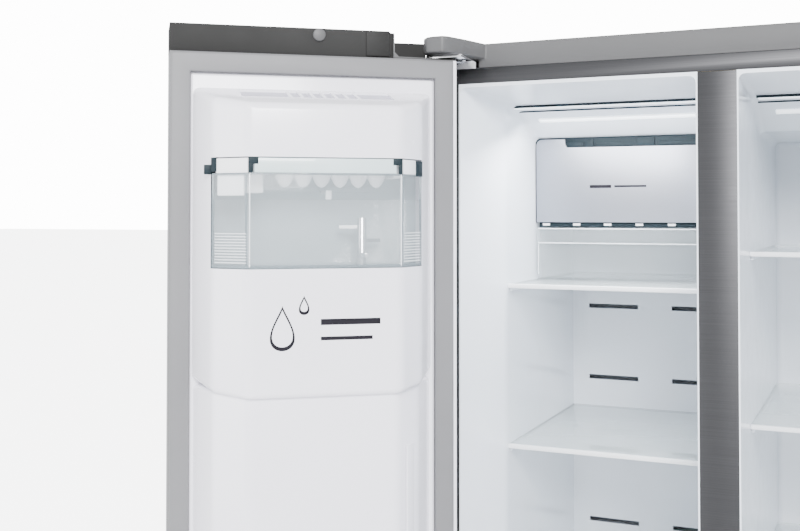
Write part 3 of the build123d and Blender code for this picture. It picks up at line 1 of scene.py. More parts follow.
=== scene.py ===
"""Looks of a counter-depth side by side refrigerator with both doors standing open.

Every piece is drawn in millimetres in its own place and then taken to the frame by a matrix.
Cabinet pieces: x from the left side, y back from the front, z above the floor.
Door pieces: u from the hinge edge, h from the door's inner face towards the cabinet, z above the floor.
"""
import json
from math import cos, pi, radians, sin

import bmesh
import bpy
from mathutils import Matrix, Vector


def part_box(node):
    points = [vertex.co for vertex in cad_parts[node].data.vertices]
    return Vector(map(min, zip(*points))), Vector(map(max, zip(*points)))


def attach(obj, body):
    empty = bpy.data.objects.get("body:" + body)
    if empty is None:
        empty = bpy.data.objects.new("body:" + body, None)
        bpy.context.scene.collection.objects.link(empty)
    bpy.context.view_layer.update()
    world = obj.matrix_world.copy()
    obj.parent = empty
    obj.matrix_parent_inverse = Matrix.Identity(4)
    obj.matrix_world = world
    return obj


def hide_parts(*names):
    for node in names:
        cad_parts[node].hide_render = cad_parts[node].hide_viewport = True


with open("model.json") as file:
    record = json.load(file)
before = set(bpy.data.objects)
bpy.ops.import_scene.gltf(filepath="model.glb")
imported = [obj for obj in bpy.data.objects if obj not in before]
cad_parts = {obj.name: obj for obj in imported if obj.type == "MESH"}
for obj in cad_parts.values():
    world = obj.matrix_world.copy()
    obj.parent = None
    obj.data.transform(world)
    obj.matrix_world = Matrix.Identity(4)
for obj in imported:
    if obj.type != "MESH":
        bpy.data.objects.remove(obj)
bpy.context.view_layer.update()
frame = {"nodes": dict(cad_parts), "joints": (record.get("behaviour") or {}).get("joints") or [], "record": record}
MM = 0.001

# Sizes read from the frame
SHELL_LOW, SHELL_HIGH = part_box("cabinet_shell")
LEFT, RIGHT, FRONT = SHELL_LOW.x, SHELL_HIGH.x, SHELL_LOW.y
WIDTH = (RIGHT - LEFT) / MM
DEPTH = (SHELL_HIGH.y - FRONT) / MM
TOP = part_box("top_cover")[1].z / MM
ICE_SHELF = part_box("craft_ice_bin")[0].z / MM - 0.8
BIN_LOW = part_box("ice_bin")[0].z / MM
BIN_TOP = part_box("ice_bin")[1].z / MM
TRAY_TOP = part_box("ice_tray")[1].z / MM
PANEL_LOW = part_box("ice_maker_panel")[0].z / MM
PANEL_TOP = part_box("ice_maker_panel")[1].z / MM
HOUSING_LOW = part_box("ice_housing")[0].z / MM
HOUSING_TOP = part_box("ice_housing")[1].z / MM
SKIN_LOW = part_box("freezer_door_skin")[0].z / MM
SKIN_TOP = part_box("freezer_door_skin")[1].z / MM

# Cabinet, millimetres
SIDE_WALL = 69.0
FREEZER_W = 300.0
FRIDGE_W = 420.0
FLARE_WALL = 36.0
FLARE_DEPTH = 110.0
LINER_T = 2.0
OPENING_TOP = TOP - 59.0
FLOOR_Z = 100.0
ROOM_BACK = DEPTH - 70.0
STEP_Y = DEPTH - 275.0
STEP_Z = 285.0
CEILING = ((150.0, 19.0), (259.0, 61.0))
SHELF_Y = 115.0
FREEZER_SHELVES = [ICE_SHELF - index * 244.0 for index in range(4)]
FRIDGE_SHELVES = (TOP - 298.0, TOP - 538.0, TOP - 778.0, 780.0, 590.0)
ICE_SLOT = (121.0, TOP - 137.0)

# Doors, millimetres
DOOR_GAP = 12.0
DOOR_T = 80.0
FREEZER_DOOR_W = 392.8
FRIDGE_DOOR_W = WIDTH - FREEZER_DOOR_W - 5.0
DOOR_BOTTOM = 64.0
CAP_BOTTOM = TOP - 31.0
GASKET_U = 7.0
LINER_TOP = TOP - 60.0
LINER_U = 35.7
BAY_D = 110.0
BAY_PLAN = [(37.0, 1.0), (71.0, 75.0), (106.0, BAY_D), (300.3, BAY_D), (341.3, 75.0), (365.3, 1.0)]
BAY_WALL = 3.0
HOUSING_FALL = 31.0
VENT_U = (104.0, 304.0)
VENT_H = (20.0, 64.0)
VENT_DROP = 2.4
VENT_MIDDLE = 196.0
VENT_PITCH = 15.0
VENT_RIB = 4.4
BIN_PLAN = [
    (74.0, 14.0), (339.0, 14.0), (342.0, 74.0), (342.0, 75.0),
    (299.5, BAY_D), (106.0, BAY_D), (71.0, 75.0), (71.0, 74.0),
]
LEFT_SHOULDER = ((342.0, 75.0), (299.5, BAY_D))
RIGHT_SHOULDER = ((106.0, BAY_D), (71.0, 75.0))
BIN_STEP = 51.0
BIN_T = 3.0
RAIL_H = 19.0
RAIL_LOW = BIN_TOP - RAIL_H
COLUMN_Z = (940.0, HOUSING_LOW - 2.0)
RECESS_Z = (985.0, 1290.0)
DOOR_MID = FREEZER_DOOR_W / 2


# ---------------------------------------------------------------- places
def door_place(joint_name, edge_x, side):
    """Matrix from a closed door's own millimetres to the frame, with the door as it stands at rest."""
    joint = next(j for j in frame["joints"] if j["name"] == joint_name)
    pin = Vector(joint["pos_m"])
    turn = Matrix.Rotation(-radians(joint["range_deg"][0]), 4, Vector(joint["axis"]))
    closed = Matrix.Translation((edge_x, FRONT - DOOR_GAP * MM, 0)) @ Matrix.Diagonal((side * MM, MM, MM, 1))
    return Matrix.Translation(pin) @ turn @ Matrix.Translation(-pin) @ closed


CABINET = Matrix.Translation((LEFT, FRONT, 0)) @ Matrix.Diagonal((MM, MM, MM, 1))
CABINET_RIGHT = Matrix.Translation((RIGHT, FRONT, 0)) @ Matrix.Diagonal((-MM, MM, MM, 1))
FREEZER_DOOR = door_place("freezer_door_swing", LEFT, 1)
FRIDGE_DOOR = door_place("fridge_door_swing", RIGHT, -1)


# ---------------------------------------------------------------- material nodes
def shader(name, colour, roughness, **sockets):
    """Principled material with its even values set on the shader's own sockets."""
    material = bpy.data.materials.new(name)
    material.use_nodes = True
    node = material.node_tree.nodes["Principled BSDF"]
    node.inputs["Base Color"].default_value = (*colour, 1)
    node.inputs["Roughness"].default_value = roughness
    for socket, value in sockets.items():
        node.inputs[socket.replace("_", " ")].default_value = value
    return material, material.node_tree, node


def add(tree, kind, **values):
    node = tree.nodes.new(kind)
    for key, value in values.items():
        if hasattr(node, key):
            setattr(node, key, value)
        else:
            node.inputs[key.replace("_", " ")].default_value = value
    return node


def noise(tree, scale, stretch=(1, 1, 1), detail=3.0, roughness=0.5):
    """Noise over the piece's own coordinates in metres, stretched along an axis by a small number."""
    place = add(tree, "ShaderNodeTexCoord")
    mapping = add(tree, "ShaderNodeMapping", Scale=stretch)
    pattern = add(tree, "ShaderNodeTexNoise", Scale=scale, Detail=detail, Roughness=roughness)
    tree.links.new(place.outputs["Object"], mapping.inputs["Vector"])
    tree.links.new(mapping.outputs["Vector"], pattern.inputs["Vector"])
    return pattern.outputs["Fac"]


def tint(tree, node, fac, dark, light, low=0.35, high=0.65):
    """Colour that drifts between two tints."""
    ramp = add(tree, "ShaderNodeValToRGB")
    ramp.color_ramp.elements[0].position = low
    ramp.color_ramp.elements[0].color = (*dark, 1)
    ramp.color_ramp.elements[1].position = high
    ramp.color_ramp.elements[1].color = (*light, 1)
    tree.links.new(fac, ramp.inputs["Fac"])
    tree.links.new(ramp.outputs["Color"], node.inputs["Base Color"])


def rough(tree, node, fac, low, high):
    """Roughness that drifts between two values."""
    span = add(tree, "ShaderNodeMapRange")
    span.inputs["To Min"].default_value = low
    span.inputs["To Max"].default_value = high
    tree.links.new(fac, span.inputs["Value"])
    tree.links.new(span.outputs["Result"], node.inputs["Roughness"])


def bumped(tree, node, fac, strength, distance):
    bump = add(tree, "ShaderNodeBump", Strength=strength, Distance=distance)
    tree.links.new(fac, bump.inputs["Height"])
    tree.links.new(bump.outputs["Normal"], node.inputs["Normal"])


def shades(colour, spread):
    return [max(c * (1 - spread), 0) for c in colour], [min(c * (1 + spread), 1) for c in colour]


def moulded(name, colour, roughness, grain=900.0, depth=0.00004, spread=0.03, **sockets):
    """Moulded plastic: faint drift in tint and gloss, and a fine skin texture."""
    material, tree, node = shader(name, colour, roughness, **sockets)
    tint(tree, node, noise(tree, 6.0), *shades(colour, spread))
    rough(tree, node, noise(tree, 35.0, detail=2.0), max(roughness - 0.05, 0.02), roughness + 0.06)
    bumped(tree, node, noise(tree, grain, detail=2.0), 0.35, depth)
    return material


def brushed(name, colour, roughness, stretch=(1, 1, 0.004), **sockets):
    """Brushed metal with its grain along the direction with the small stretch."""
    material, tree, node = shader(name, colour, roughness, Metallic=1.0, **sockets)
    grain = noise(tree, 1600.0, stretch, detail=4.0, roughness=0.6)
    tint(tree, node, grain, *shades(colour, 0.07))
    rough(tree, node, noise(tree, 700.0, stretch, detail=2.0), roughness - 0.06, roughness + 0.09)
    bumped(tree, node, grain, 0.25, 0.00002)
    return material


def clear(name, colour, alpha, roughness=0.06, streak=180.0):
    """Clear moulded plastic or glass, with faint flow lines."""
    material, tree, node = shader(name, colour, roughness, Alpha=alpha, Coat_Weight=0.6, Coat_Roughness=0.03)
    rough(tree, node, noise(tree, 14.0), roughness, roughness + 0.08)
    bumped(tree, node, noise(tree, streak, (1, 1, 0.2), detail=1.0), 0.12, 0.00006)
    tint(tree, node, noise(tree, 9.0), *shades(colour, 0.03))
    return material


def painted(name, colour, roughness, metallic=0.0, peel=420.0, **sockets):
    """Sprayed paint with a slight orange peel."""
    material, tree, node = shader(name, colour, roughness, Metallic=metallic, **sockets)
    tint(tree, node, noise(tree, 3.0), *shades(colour, 0.025))
    rough(tree, node, noise(tree, 22.0), roughness - 0.04, roughness + 0.05)
    bumped(tree, node, noise(tree, peel, detail=1.0), 0.2, 0.00005)
    return material


def rigid_foam(name):
    """Poured foam with open cells."""
    material, tree, node = shader(name, (0.85, 0.76, 0.52), 0.9)
    cells = add(tree, "ShaderNodeTexVoronoi", Scale=260.0)
    place = add(tree, "ShaderNodeTexCoord")
    tree.links.new(place.outputs["Object"], cells.inputs["Vector"])
    bumped(tree, node, cells.outputs["Distance"], 0.6, 0.0006)
    tint(tree, node, noise(tree, 18.0), (0.78, 0.68, 0.44), (0.9, 0.82, 0.6))
    return material


def spangled(name):
    """Zinc-coated sheet with its crystal pattern."""
    material, tree, node = shader(name, (0.5, 0.52, 0.53), 0.38, Metallic=1.0)
    cells = add(tree, "ShaderNodeTexVoronoi", Scale=95.0)
    place = add(tree, "ShaderNodeTexCoord")
    tree.links.new(place.outputs["Object"], cells.inputs["Vector"])
    tint(tree, node, cells.outputs["Color"], (0.4, 0.42, 0.43), (0.6, 0.62, 0.63), 0.1, 0.9)
    rough(tree, node, noise(tree, 60.0), 0.3, 0.5)
    return material


def glowing(name, colour, strength):
    """Diffusing lens with a soft light behind it."""
    material, tree, node = shader(name, colour, 0.35, Emission_Strength=strength)
    node.inputs["Emission Color"].default_value = (*colour, 1)
    bumped(tree, node, noise(tree, 500.0, (0.1, 1, 1)), 0.3, 0.00008)
    rough(tree, node, noise(tree, 40.0), 0.3, 0.42)
    return material


WHITE = (0.86, 0.85, 0.915)
INNER = (0.80, 0.84, 0.90)
FINISHES = {
    "case_steel": brushed("case_steel_paint", (0.055, 0.055, 0.058), 0.42, (0.004, 1, 1)),
    "trim_grey": moulded("trim_grey_plastic", (0.083, 0.083, 0.085), 0.45, 1100.0, Specular_IOR_Level=0.3),
    "cap_grey": moulded(
        "cap_grey_plastic", (0.017, 0.0168, 0.0165), 0.6, 1300.0, 0.00005, Specular_IOR_Level=0.16
    ),
    "door_steel": brushed("door_steel_grain", (0.40, 0.40, 0.41), 0.3),
    "bright_metal": brushed("bright_plated_metal", (0.78, 0.78, 0.8), 0.16, (0.1, 0.1, 0.1)),
    "liner_white": moulded(
        "door_liner_white", WHITE, 0.24, 240.0, 0.00003, 0.012, Coat_Weight=0.35, Coat_Roughness=0.12
    ),
    "inner_white": moulded(
        "room_liner_white", INNER, 0.22, 240.0, 0.00003, 0.015, Coat_Weight=0.4, Coat_Roughness=0.1
    ),
    "foam": rigid_foam("insulation_foam"),
    "gasket": moulded("seal_vinyl", (0.165, 0.165, 0.171), 0.5, 700.0, 0.00004, 0.03, Specular_IOR_Level=0.3),
    "silver_panel": brushed("ice_maker_silver", (0.36, 0.375, 0.42), 0.42, (1, 1, 1)),
    "slate_plastic": moulded("slate_plastic", (0.010, 0.018, 0.023), 0.5, 900.0, Specular_IOR_Level=0.15),
    "black_plastic": moulded("black_plastic", (0.02, 0.02, 0.022), 0.36, 900.0, 0.00005, 0.1),
    "clear_plastic": clear("clear_bin_plastic", (0.80, 0.88, 0.93), 0.13),
    "clear_white": clear("frosted_drawer_plastic", (0.86, 0.90, 0.93), 0.62, 0.22),
    "shelf_glass": clear("shelf_glass", (0.86, 0.94, 0.95), 0.42, 0.04),
    "aqua_rail": clear("aqua_rail_plastic", (0.66, 0.78, 0.80), 0.88, 0.2),
    "trim_white": moulded("trim_white_plastic", (0.87, 0.88, 0.90), 0.3, 700.0, 0.00003, 0.012),
    "lens_white": glowing("light_lens", (0.93, 0.97, 1.0), 1.6),
    "copper_black": painted("black_enamel", (0.02, 0.02, 0.021), 0.35),
    "raw_aluminium": brushed("raw_aluminium", (0.72, 0.73, 0.74), 0.3, (0.02, 1, 1)),
    "galvanised": spangled("galvanised_sheet"),
    "wheel_nylon": moulded("wheel_nylon", (0.78, 0.78, 0.74), 0.45, 800.0),
}
# Painted shade: the white housing's inner walls in a dark blue-grey, for the shade inside the bay behind the bin.
HOUSING_PAINTED_SHADE = moulded("shaded_blue_plastic", (0.30, 0.37, 0.41), 0.4, 700.0)
# Painted shade: the white recess floor in a greyer lilac, for the shade inside the shallow vent recess.
VENT_PAINTED_SHADE = moulded("vent_shade_plastic", (0.50, 0.49, 0.58), 0.4, 700.0)
# Painted shade: dark see-through strips for the clear bin's walls seen edge on.
BIN_EDGE_PAINTED_SHADE = moulded("bin_edge_tint", (0.13, 0.18, 0.21), 0.2, 500.0, 0.00002, 0.03, Alpha=0.62)
MARK_GREY = moulded("printed_mark_grey", (0.012, 0.011, 0.015), 0.6, 600.0, 0.00001, Specular_IOR_Level=0.1)


# ---------------------------------------------------------------- mesh drawing
def add_prism(bm, outline, low, high, axis="z", soft=0.0, steps=3):
    """Closed prism over an outline, extruded along the named axis, with its edges rounded if soft."""
    order = {"z": (0, 1, 2), "y": (0, 2, 1), "x": (1, 2, 0)}[axis]
    rings = []
    for level in (low, high):
        ring = []
        for a, b in outline:
            point = [0.0, 0.0, 0.0]
            point[order[0]], point[order[1]], point[order[2]] = a, b, level
            ring.append(bm.verts.new(point))
        rings.append(ring)
    return close_rings(bm, rings, soft, steps)


def close_rings(bm, rings, soft=0.0, steps=3):
    """Skin over a stack of rings with a face at each end."""
    faces = [bm.faces.new(rings[0]), bm.faces.new(rings[-1])]
    count = len(rings[0])
    for low, high in zip(rings, rings[1:]):
        for i in range(count):
            j = (i + 1) % count
            faces.append(bm.faces.new((low[i], low[j], high[j], high[i])))
    if soft:
        edges = list({edge for face in faces for edge in face.edges})
        bmesh.ops.bevel(
            bm, geom=edges, offset=soft, segments=steps, profile=0.5, affect="EDGES", clamp_overlap=True
        )
    return faces


def add_box(bm, x, y, z, soft=0.0, steps=2):
    add_prism(bm, [(x[0], y[0]), (x[1], y[0]), (x[1], y[1]), (x[0], y[1])], z[0], z[1], "z", soft, steps)


def add_sloped(bm, plan, low_of, high_of, soft=0.0, steps=3):
    """Prism over a plan whose floor and roof heights follow the depth."""
    rings = [
        [bm.verts.new((u, h, low_of(h))) for u, h in plan],
        [bm.verts.new((u, h, high_of(h))) for u, h in plan],
    ]
    return close_rings(bm, rings, soft, steps)


def add_turned(bm, profile, centre, axis="z", segments=32):
    """Turned solid: profile is (radius, distance along the axis), from one end to the other."""
    order = {"z": (0, 1, 2), "y": (2, 0, 1), "x": (1, 2, 0)}[axis]
    rings = []
    for radius, distance in profile:
        ring = []
        for index in range(segments):
            angle = 2 * pi * index / segments
            offset = [0.0, 0.0, 0.0]
            offset[order[0]] = radius * cos(angle)
            offset[order[1]] = radius * sin(angle)
            offset[order[2]] = distance
            ring.append(bm.verts.new([c + o for c, o in zip(centre, offset)]))
        rings.append(ring)
    return close_rings(bm, rings)


def add_tub(bm, outer, inner, low, floor, tops):
    """Open tub between an outer and an inner plan, with its own top height at each corner."""
    rings = [
        [bm.verts.new((u, h, low)) for u, h in outer],
        [bm.verts.new((u, h, top)) for (u, h), top in zip(outer, tops)],
        [bm.verts.new((u, h, top)) for (u, h), top in zip(inner, tops)],
        [bm.verts.new((u, h, floor)) for u, h in inner],
    ]
    return close_rings(bm, rings)


def loose_object(name, bm, place):
    """Object from a drawn mesh, taken to the frame."""
    bmesh.ops.recalc_face_normals(bm, faces=bm.faces)
    bm.transform(place)
    if place.determinant() < 0:
        bmesh.ops.reverse_faces(bm, faces=bm.faces)
    mesh = bpy.data.meshes.new(name)
    bm.to_mesh(mesh)
    bm.free()
    obj = bpy.data.objects.new(name, mesh)
    bpy.context.scene.collection.objects.link(obj)
    return obj


def settle(obj):
    """Make the evaluated modifiers the object's own mesh."""
    graph = bpy.context.evaluated_depsgraph_get()
    mesh = bpy.data.meshes.new_from_object(obj.evaluated_get(graph))
    obj.modifiers.clear()
    obj.data = mesh
    return obj


def rounded(obj, width, steps, angle=38.0):
    """Round the edges sharper than an angle."""
    bevel = obj.modifiers.new("rounding", "BEVEL")
    bevel.width = width * MM
    bevel.segments = steps
    bevel.limit_method = "ANGLE"
    bevel.angle_limit = radians(angle)
    bevel.use_clamp_overlap = True
    return settle(obj)


def cut(obj, cutter, crossing=False):
    """Take one closed shape out of another."""
    boolean = obj.modifiers.new("cut", "BOOLEAN")
    boolean.object = cutter
    boolean.operation = "DIFFERENCE"
    boolean.solver = "EXACT"
    boolean.use_self = crossing
    settle(obj)
    bpy.data.objects.remove(cutter)
    return obj


def shade(obj, crease):
    """Smooth shading with creases left where faces meet at a larger angle."""
    bm = bmesh.new()
    bm.from_mesh(obj.data)
    for face in bm.faces:
        face.smooth = True
    for edge in bm.edges:
        edge.smooth = len(edge.link_faces) == 2 and edge.calc_face_angle(0) < radians(crease)
    bm.to_mesh(obj.data)
    bm.free()


def fit(obj, body, slot, replaced=(), crease=32.0, material=None):
    """Give a finished shape its material, its body and the nodes it stands for."""
    shade(obj, crease)
    obj.data.materials.clear()
    obj.data.materials.append(material or FINISHES[slot])
    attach(obj, body)
    if replaced:
        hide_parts(*replaced)
    return obj


def piece(name, bm, place, body, slot, replaced=(), crease=32.0, material=None):
    return fit(loose_object(name, bm, place), body, slot, replaced, crease, material)


# ---------------------------------------------------------------- node trees
def socket(tree, name, kind, default=None):
    made = tree.interface.new_socket(name, in_out="INPUT", socket_type=kind)
    if default is not None:
        made.default_value = default
    return made


def wire(tree, *joins):
    """Join nodes, each join given as (node, output, node, input)."""
    for source, output, target, entry in joins:
        tree.links.new(source.outputs[output], target.inputs[entry])


def row_tree():
    """Repeats the object's own shape along a straight line."""
    tree = bpy.data.node_groups.new("straight_row", "GeometryNodeTree")
    socket(tree, "Shape", "NodeSocketGeometry")
    socket(tree, "Count", "NodeSocketInt", 2)
    socket(tree, "Step", "NodeSocketVector")
    socket(tree, "Material", "NodeSocketMaterial")
    tree.interface.new_socket("Row", in_out="OUTPUT", socket_type="NodeSocketGeometry")
    inputs = tree.nodes.new("NodeGroupInput")
    line = tree.nodes.new("GeometryNodeMeshLine")
    copies = tree.nodes.new("GeometryNodeInstanceOnPoints")
    wire(
        tree,
        (inputs, "Count", line, "Count"),
        (inputs, "Step", line, "Offset"),
        (line, "Mesh", copies, "Points"),
        (inputs, "Shape", copies, "Instance"),
    )
    finish_tree(tree, inputs, copies, "Row")
    return tree


def finish_tree(tree, inputs, copies, output):
    """Turn the copies into real mesh in the chosen material."""
    real = tree.nodes.new("GeometryNodeRealizeInstances")
    paint = tree.nodes.new("GeometryNodeSetMaterial")
    outputs = tree.nodes.new("NodeGroupOutput")
    wire(
        tree,
        (copies, "Instances", real, "Geometry"),
        (real, "Geometry", paint, "Geometry"),
        (inputs, "Material", paint, "Material"),
        (paint, "Geometry", outputs, output),
    )


def screw_tree():
    """Pan-head screw on every point, facing along the point's own direction."""
    tree = bpy.data.node_groups.new("pan_head_screws", "GeometryNodeTree")
    socket(tree, "Points", "NodeSocketGeometry")
    socket(tree, "Head Radius", "NodeSocketFloat", 4.0 * MM)
    socket(tree, "Head Height", "NodeSocketFloat", 2.2 * MM)
    socket(tree, "Material", "NodeSocketMaterial")
    tree.interface.new_socket("Screws", in_out="OUTPUT", socket_type="NodeSocketGeometry")
    inputs = tree.nodes.new("NodeGroupInput")
    head = add(tree, "GeometryNodeMeshCone", Vertices=20, Fill_Segments=3)
    shrink = add(tree, "ShaderNodeMath", operation="MULTIPLY")
    shrink.inputs[1].default_value = 0.72
    bar_length = add(tree, "ShaderNodeMath", operation="MULTIPLY")
    bar_length.inputs[1].default_value = 1.1
    size = add(tree, "ShaderNodeCombineXYZ", Y=1.1 * MM, Z=0.5 * MM)
    bar = tree.nodes.new("GeometryNodeMeshCube")
    lift_by = tree.nodes.new("ShaderNodeCombineXYZ")
    lift = tree.nodes.new("GeometryNodeTransform")
    turn = add(tree, "GeometryNodeTransform", Rotation=(0, 0, pi / 2))
    joined = tree.nodes.new("GeometryNodeJoinGeometry")
    facing = add(tree, "GeometryNodeInputNamedAttribute", data_type="FLOAT_VECTOR", Name="facing")
    align = tree.nodes.new("FunctionNodeAlignRotationToVector")
    copies = tree.nodes.new("GeometryNodeInstanceOnPoints")
    wire(
        tree,
        (inputs, "Head Radius", head, "Radius Bottom"),
        (inputs, "Head Radius", shrink, 0),
        (shrink, 0, head, "Radius Top"),
        (inputs, "Head Height", head, "Depth"),
        (inputs, "Head Radius", bar_length, 0),
        (bar_length, 0, size, "X"),
        (size, 0, bar, "Size"),
        (inputs, "Head Height", lift_by, "Z"),
        (lift_by, 0, lift, "Translation"),
        (bar, "Mesh", lift, "Geometry"),
        (lift, 0, turn, "Geometry"),
        (turn, 0, joined, 0),
        (lift, 0, joined, 0),
        (head, "Mesh", joined, 0),
        (facing, "Attribute", align, "Vector"),
        (inputs, "Points", copies, "Points"),
        (joined, 0, copies, "Instance"),
        (align, 0, copies, "Rotation"),
    )
    finish_tree(tree, inputs, copies, "Screws")
    return tree


def grow(obj, tree, **values):
    """Run a node tree on an object, with its inputs given by name, and keep the result as plain mesh."""
    modifier = obj.modifiers.new(tree.name, "NODES")
    modifier.node_group = tree
    for item in tree.interface.items_tree:
        key = item.name.replace(" ", "_")
        if item.in_out == "INPUT" and key in values:
            modifier[item.identifier] = values[key]
    return settle(obj)


ROW = row_tree()
SCREWS = screw_tree()


def row(name, bm, count, step, place, body, slot, replaced=(), crease=32.0):
    """One drawn shape repeated by the row tree, in millimetres, then taken to the frame."""
    obj = loose_object(name, bm, place)
    turned = place.to_3x3() @ Vector(step)
    grow(obj, ROW, Count=count, Step=turned, Material=FINISHES[slot])
    return fit(obj, body, slot, replaced, crease)


def screws(name, spots, place, body, radius=4.0, height=2.2):
    """Screws at (point, direction) spots in a place's millimetres."""
    mesh = bpy.data.meshes.new(name)
    mesh.from_pydata([place @ Vector(point) for point, _ in spots], [], [])
    attribute = mesh.attributes.new("facing", "FLOAT_VECTOR", "POINT")
    turn = place.to_3x3()
    for index, (_, direction) in enumerate(spots):
        attribute.data[index].vector = (turn @ Vector(direction)).normalized()
    obj = bpy.data.objects.new(name, mesh)
    bpy.context.scene.collection.objects.link(obj)
    grow(obj, SCREWS, Head_Radius=radius * MM, Head_Height=height * MM, Material=FINISHES["bright_metal"])
    return fit(obj, body, "bright_metal")


# ---------------------------------------------------------------- carried-over nodes
BODY_OF = {node: body for body, nodes in frame["record"]["behaviour"]["bodies"].items() for node in nodes}
SLOT_OF = {part["node"]: part["material_slot"] for part in frame["record"]["subparts"]}


def merged_copy(node):
    """Copy of a node with its triangles joined into whole faces."""
    bm = bmesh.new()
    bm.from_mesh(frame["nodes"][node].data)
    bmesh.ops.remove_doubles(bm, verts=bm.verts, dist=0.002 * MM)
    bmesh.ops.dissolve_limit(bm, angle_limit=radians(0.6), verts=bm.verts, edges=bm.edges)
    mesh = bpy.data.meshes.new(node + "_shape")
    bm.to_mesh(mesh)
    bm.free()
    obj = bpy.data.objects.new(node + "_shape", mesh)
    bpy.context.scene.collection.objects.link(obj)
    return obj


def eased(node, width, steps=2, crease=32.0):
    """The node's own shape with its edges eased, in the node's finish."""
    obj = rounded(merged_copy(node), width, steps)
    return fit(obj, BODY_OF[node], SLOT_OF[node], (node,), crease)


def dressed(node):
    """A node kept as it is, in its finish."""
    obj = frame["nodes"][node]
    obj.data.materials.clear()
    obj.data.materials.append(FINISHES[SLOT_OF[node]])


EASED = {
    "cabinet_shell": 0.45, "rear_covers": 0.4, "center_mullion": 1.2, "top_cover": 2.2, "door_hinges": 0.8,
    "toe_grille": 0.8, "base_pan": 0.8, "water_valve": 0.8, "freezer_back_panel": 1.0, "glass_shelves": 0.8,
    "shelf_trims": 1.6, "drawer_rails": 1.0, "fan_motors": 1.0, "ice_maker_body": 2.0,
    "freezer_door_skin": 0.5, "freezer_door_caps": 1.3, "freezer_door_handle": 1.2, "ice_motors": 1.6,
    "dispenser_housing": 1.2, "dispenser_paddle": 1.0, "ice_stirrer": 0.8,
    "fridge_door_skin": 0.5, "fridge_door_caps": 1.3, "fridge_door_handle": 1.2, "dairy_flap": 0.8,
    "craft_ice_bin": 1.0, "freezer_drawer_upper": 1.2, "freezer_drawer_lower": 1.2, "deli_drawer": 1.2,
    "crisper_upper": 1.2, "crisper_lower": 1.2, "freezer_basket_upper": 1.2, "freezer_basket_lower": 1.2,
    "fridge_basket_upper": 1.2, "fridge_basket_middle": 1.2, "fridge_basket_lower": 1.2,
    "condenser_fan": 0.5, "evaporator_fan": 0.5, "rear_rollers": 2.0, "left_foot": 0.8, "right_foot": 0.8,
}
KEPT = (
    "cabinet_insulation", "compressor", "condenser_coil", "evaporator",
    "freezer_door_foam", "fridge_door_foam",
)


# ---------------------------------------------------------------- compartments
def ceiling_drop(y):
    """How far the ceiling has come down at a depth."""
    (mid_y, mid), (back_y, back) = CEILING
    if y <= mid_y:
        return mid * max(y, 0) / mid_y
    return mid + (back - mid) * min(1, (y - mid_y) / (back_y - mid_y))


def room(width, spread, front):
    """Closed shape of a compartment's space, spread outwards on all sides but the front."""
    near, far = SIDE_WALL - spread, SIDE_WALL + width + spread
    rear, step = ROOM_BACK + spread, STEP_Y + spread
    low, high = FLOOR_Z - spread, STEP_Z - spread
    flare = [(front, low), (front, OPENING_TOP + spread)]
    bend = [(FLARE_DEPTH, low), (FLARE_DEPTH, OPENING_TOP + spread - ceiling_drop(FLARE_DEPTH))]
    deep = [(step, low), (step, high), (rear, high)]
    for y in (rear, CEILING[1][0], CEILING[0][0]):
        deep.append((y, OPENING_TOP + spread - ceiling_drop(y)))
    slope = (SIDE_WALL - FLARE_WALL) / FLARE_DEPTH

    def near_at(y):
        return near - max(0.0, FLARE_DEPTH - y) * slope

    bm = bmesh.new()
    outline = [flare[0], bend[0]] + deep + [bend[1], flare[1]]
    left = [bm.verts.new((near_at(y), y, z)) for y, z in outline]
    right = [bm.verts.new((far, y, z)) for y, z in outline]
    count = len(outline)
    for i in range(count):
        j = (i + 1) % count
        bm.faces.new((left[i], left[j], right[j], right[i]))
    for side in (left, right):
        bm.faces.new((side[0], side[1], side[-2], side[-1]))
        bm.faces.new(side[1:-1])
    return bm


def room_lining(name, width, place, node):
    """Vacuum-formed lining with rounded inner corners."""
    obj = loose_object(name, room(width, LINER_T, 0.0), place)
    space = rounded(loose_object("space", room(width, 0.0, -30.0), place), 9.0, 4, 12.0)
    cut(obj, space)
    return fit(obj, "cabinet", "inner_white", (node,), 28.0)


def shelf_ledges(name, width, heights, place, back):
    """Moulded ledges on both side walls under each shelf."""
    bm = bmesh.new()
    for height in heights:
        for x in ((SIDE_WALL, SIDE_WALL + 4.5), (SIDE_WALL + width - 4.5, SIDE_WALL + width)):
            add_box(bm, x, (SHELF_Y + 8, back), (height - 12.0, height - 4.2), 1.5, 3)
    piece(name, bm, place, "cabinet", "inner_white")


def light_strip(name, width, place, replaced=()):
    """Ceiling lens with a dark frame line, and a glowing strip on the slope behind it that is a painted reflection
    of the lamp.
    """
    (mid_y, mid), (back_y, back) = CEILING
    level = OPENING_TOP - mid
    x = (SIDE_WALL - 14, SIDE_WALL + width - 10)
    bm = bmesh.new()
    add_box(bm, x, (mid_y - 9, mid_y + 13), (level - 3.2, level + 1), 1.2, 3)
    piece(name, bm, place, "cabinet", "lens_white", replaced)
    bm = bmesh.new()
    add_box(bm, (x[0] - 3, x[1] + 2), (mid_y - 10.4, mid_y - 9.2), (level - 2.6, level + 1.5), 0.4)
    add_box(bm, (x[0] - 3, x[1] + 2), (mid_y + 13.2, mid_y + 14.6), (level - 7.5, level - 2), 0.4)
    piece(name + "_frame", bm, place, "cabinet", "slate_plastic")
    # Painted reflection: a strip in the glowing lens finish on the ceiling slope, standing for the lamp's
    # reflection there.
    slope = (back - mid) / (back_y - mid_y)
    low = (mid_y + 40, level - 40 * slope)
    high = (mid_y + 50, level - 50 * slope)
    outline = [low, high, (high[0], high[1] - 2), (low[0], low[1] - 2)]
    bm = bmesh.new()
    add_prism(bm, outline, SIDE_WALL + 27, SIDE_WALL + width - 30, "x", 0.8)
    piece(name + "_reflector", bm, place, "cabinet", "lens_white")


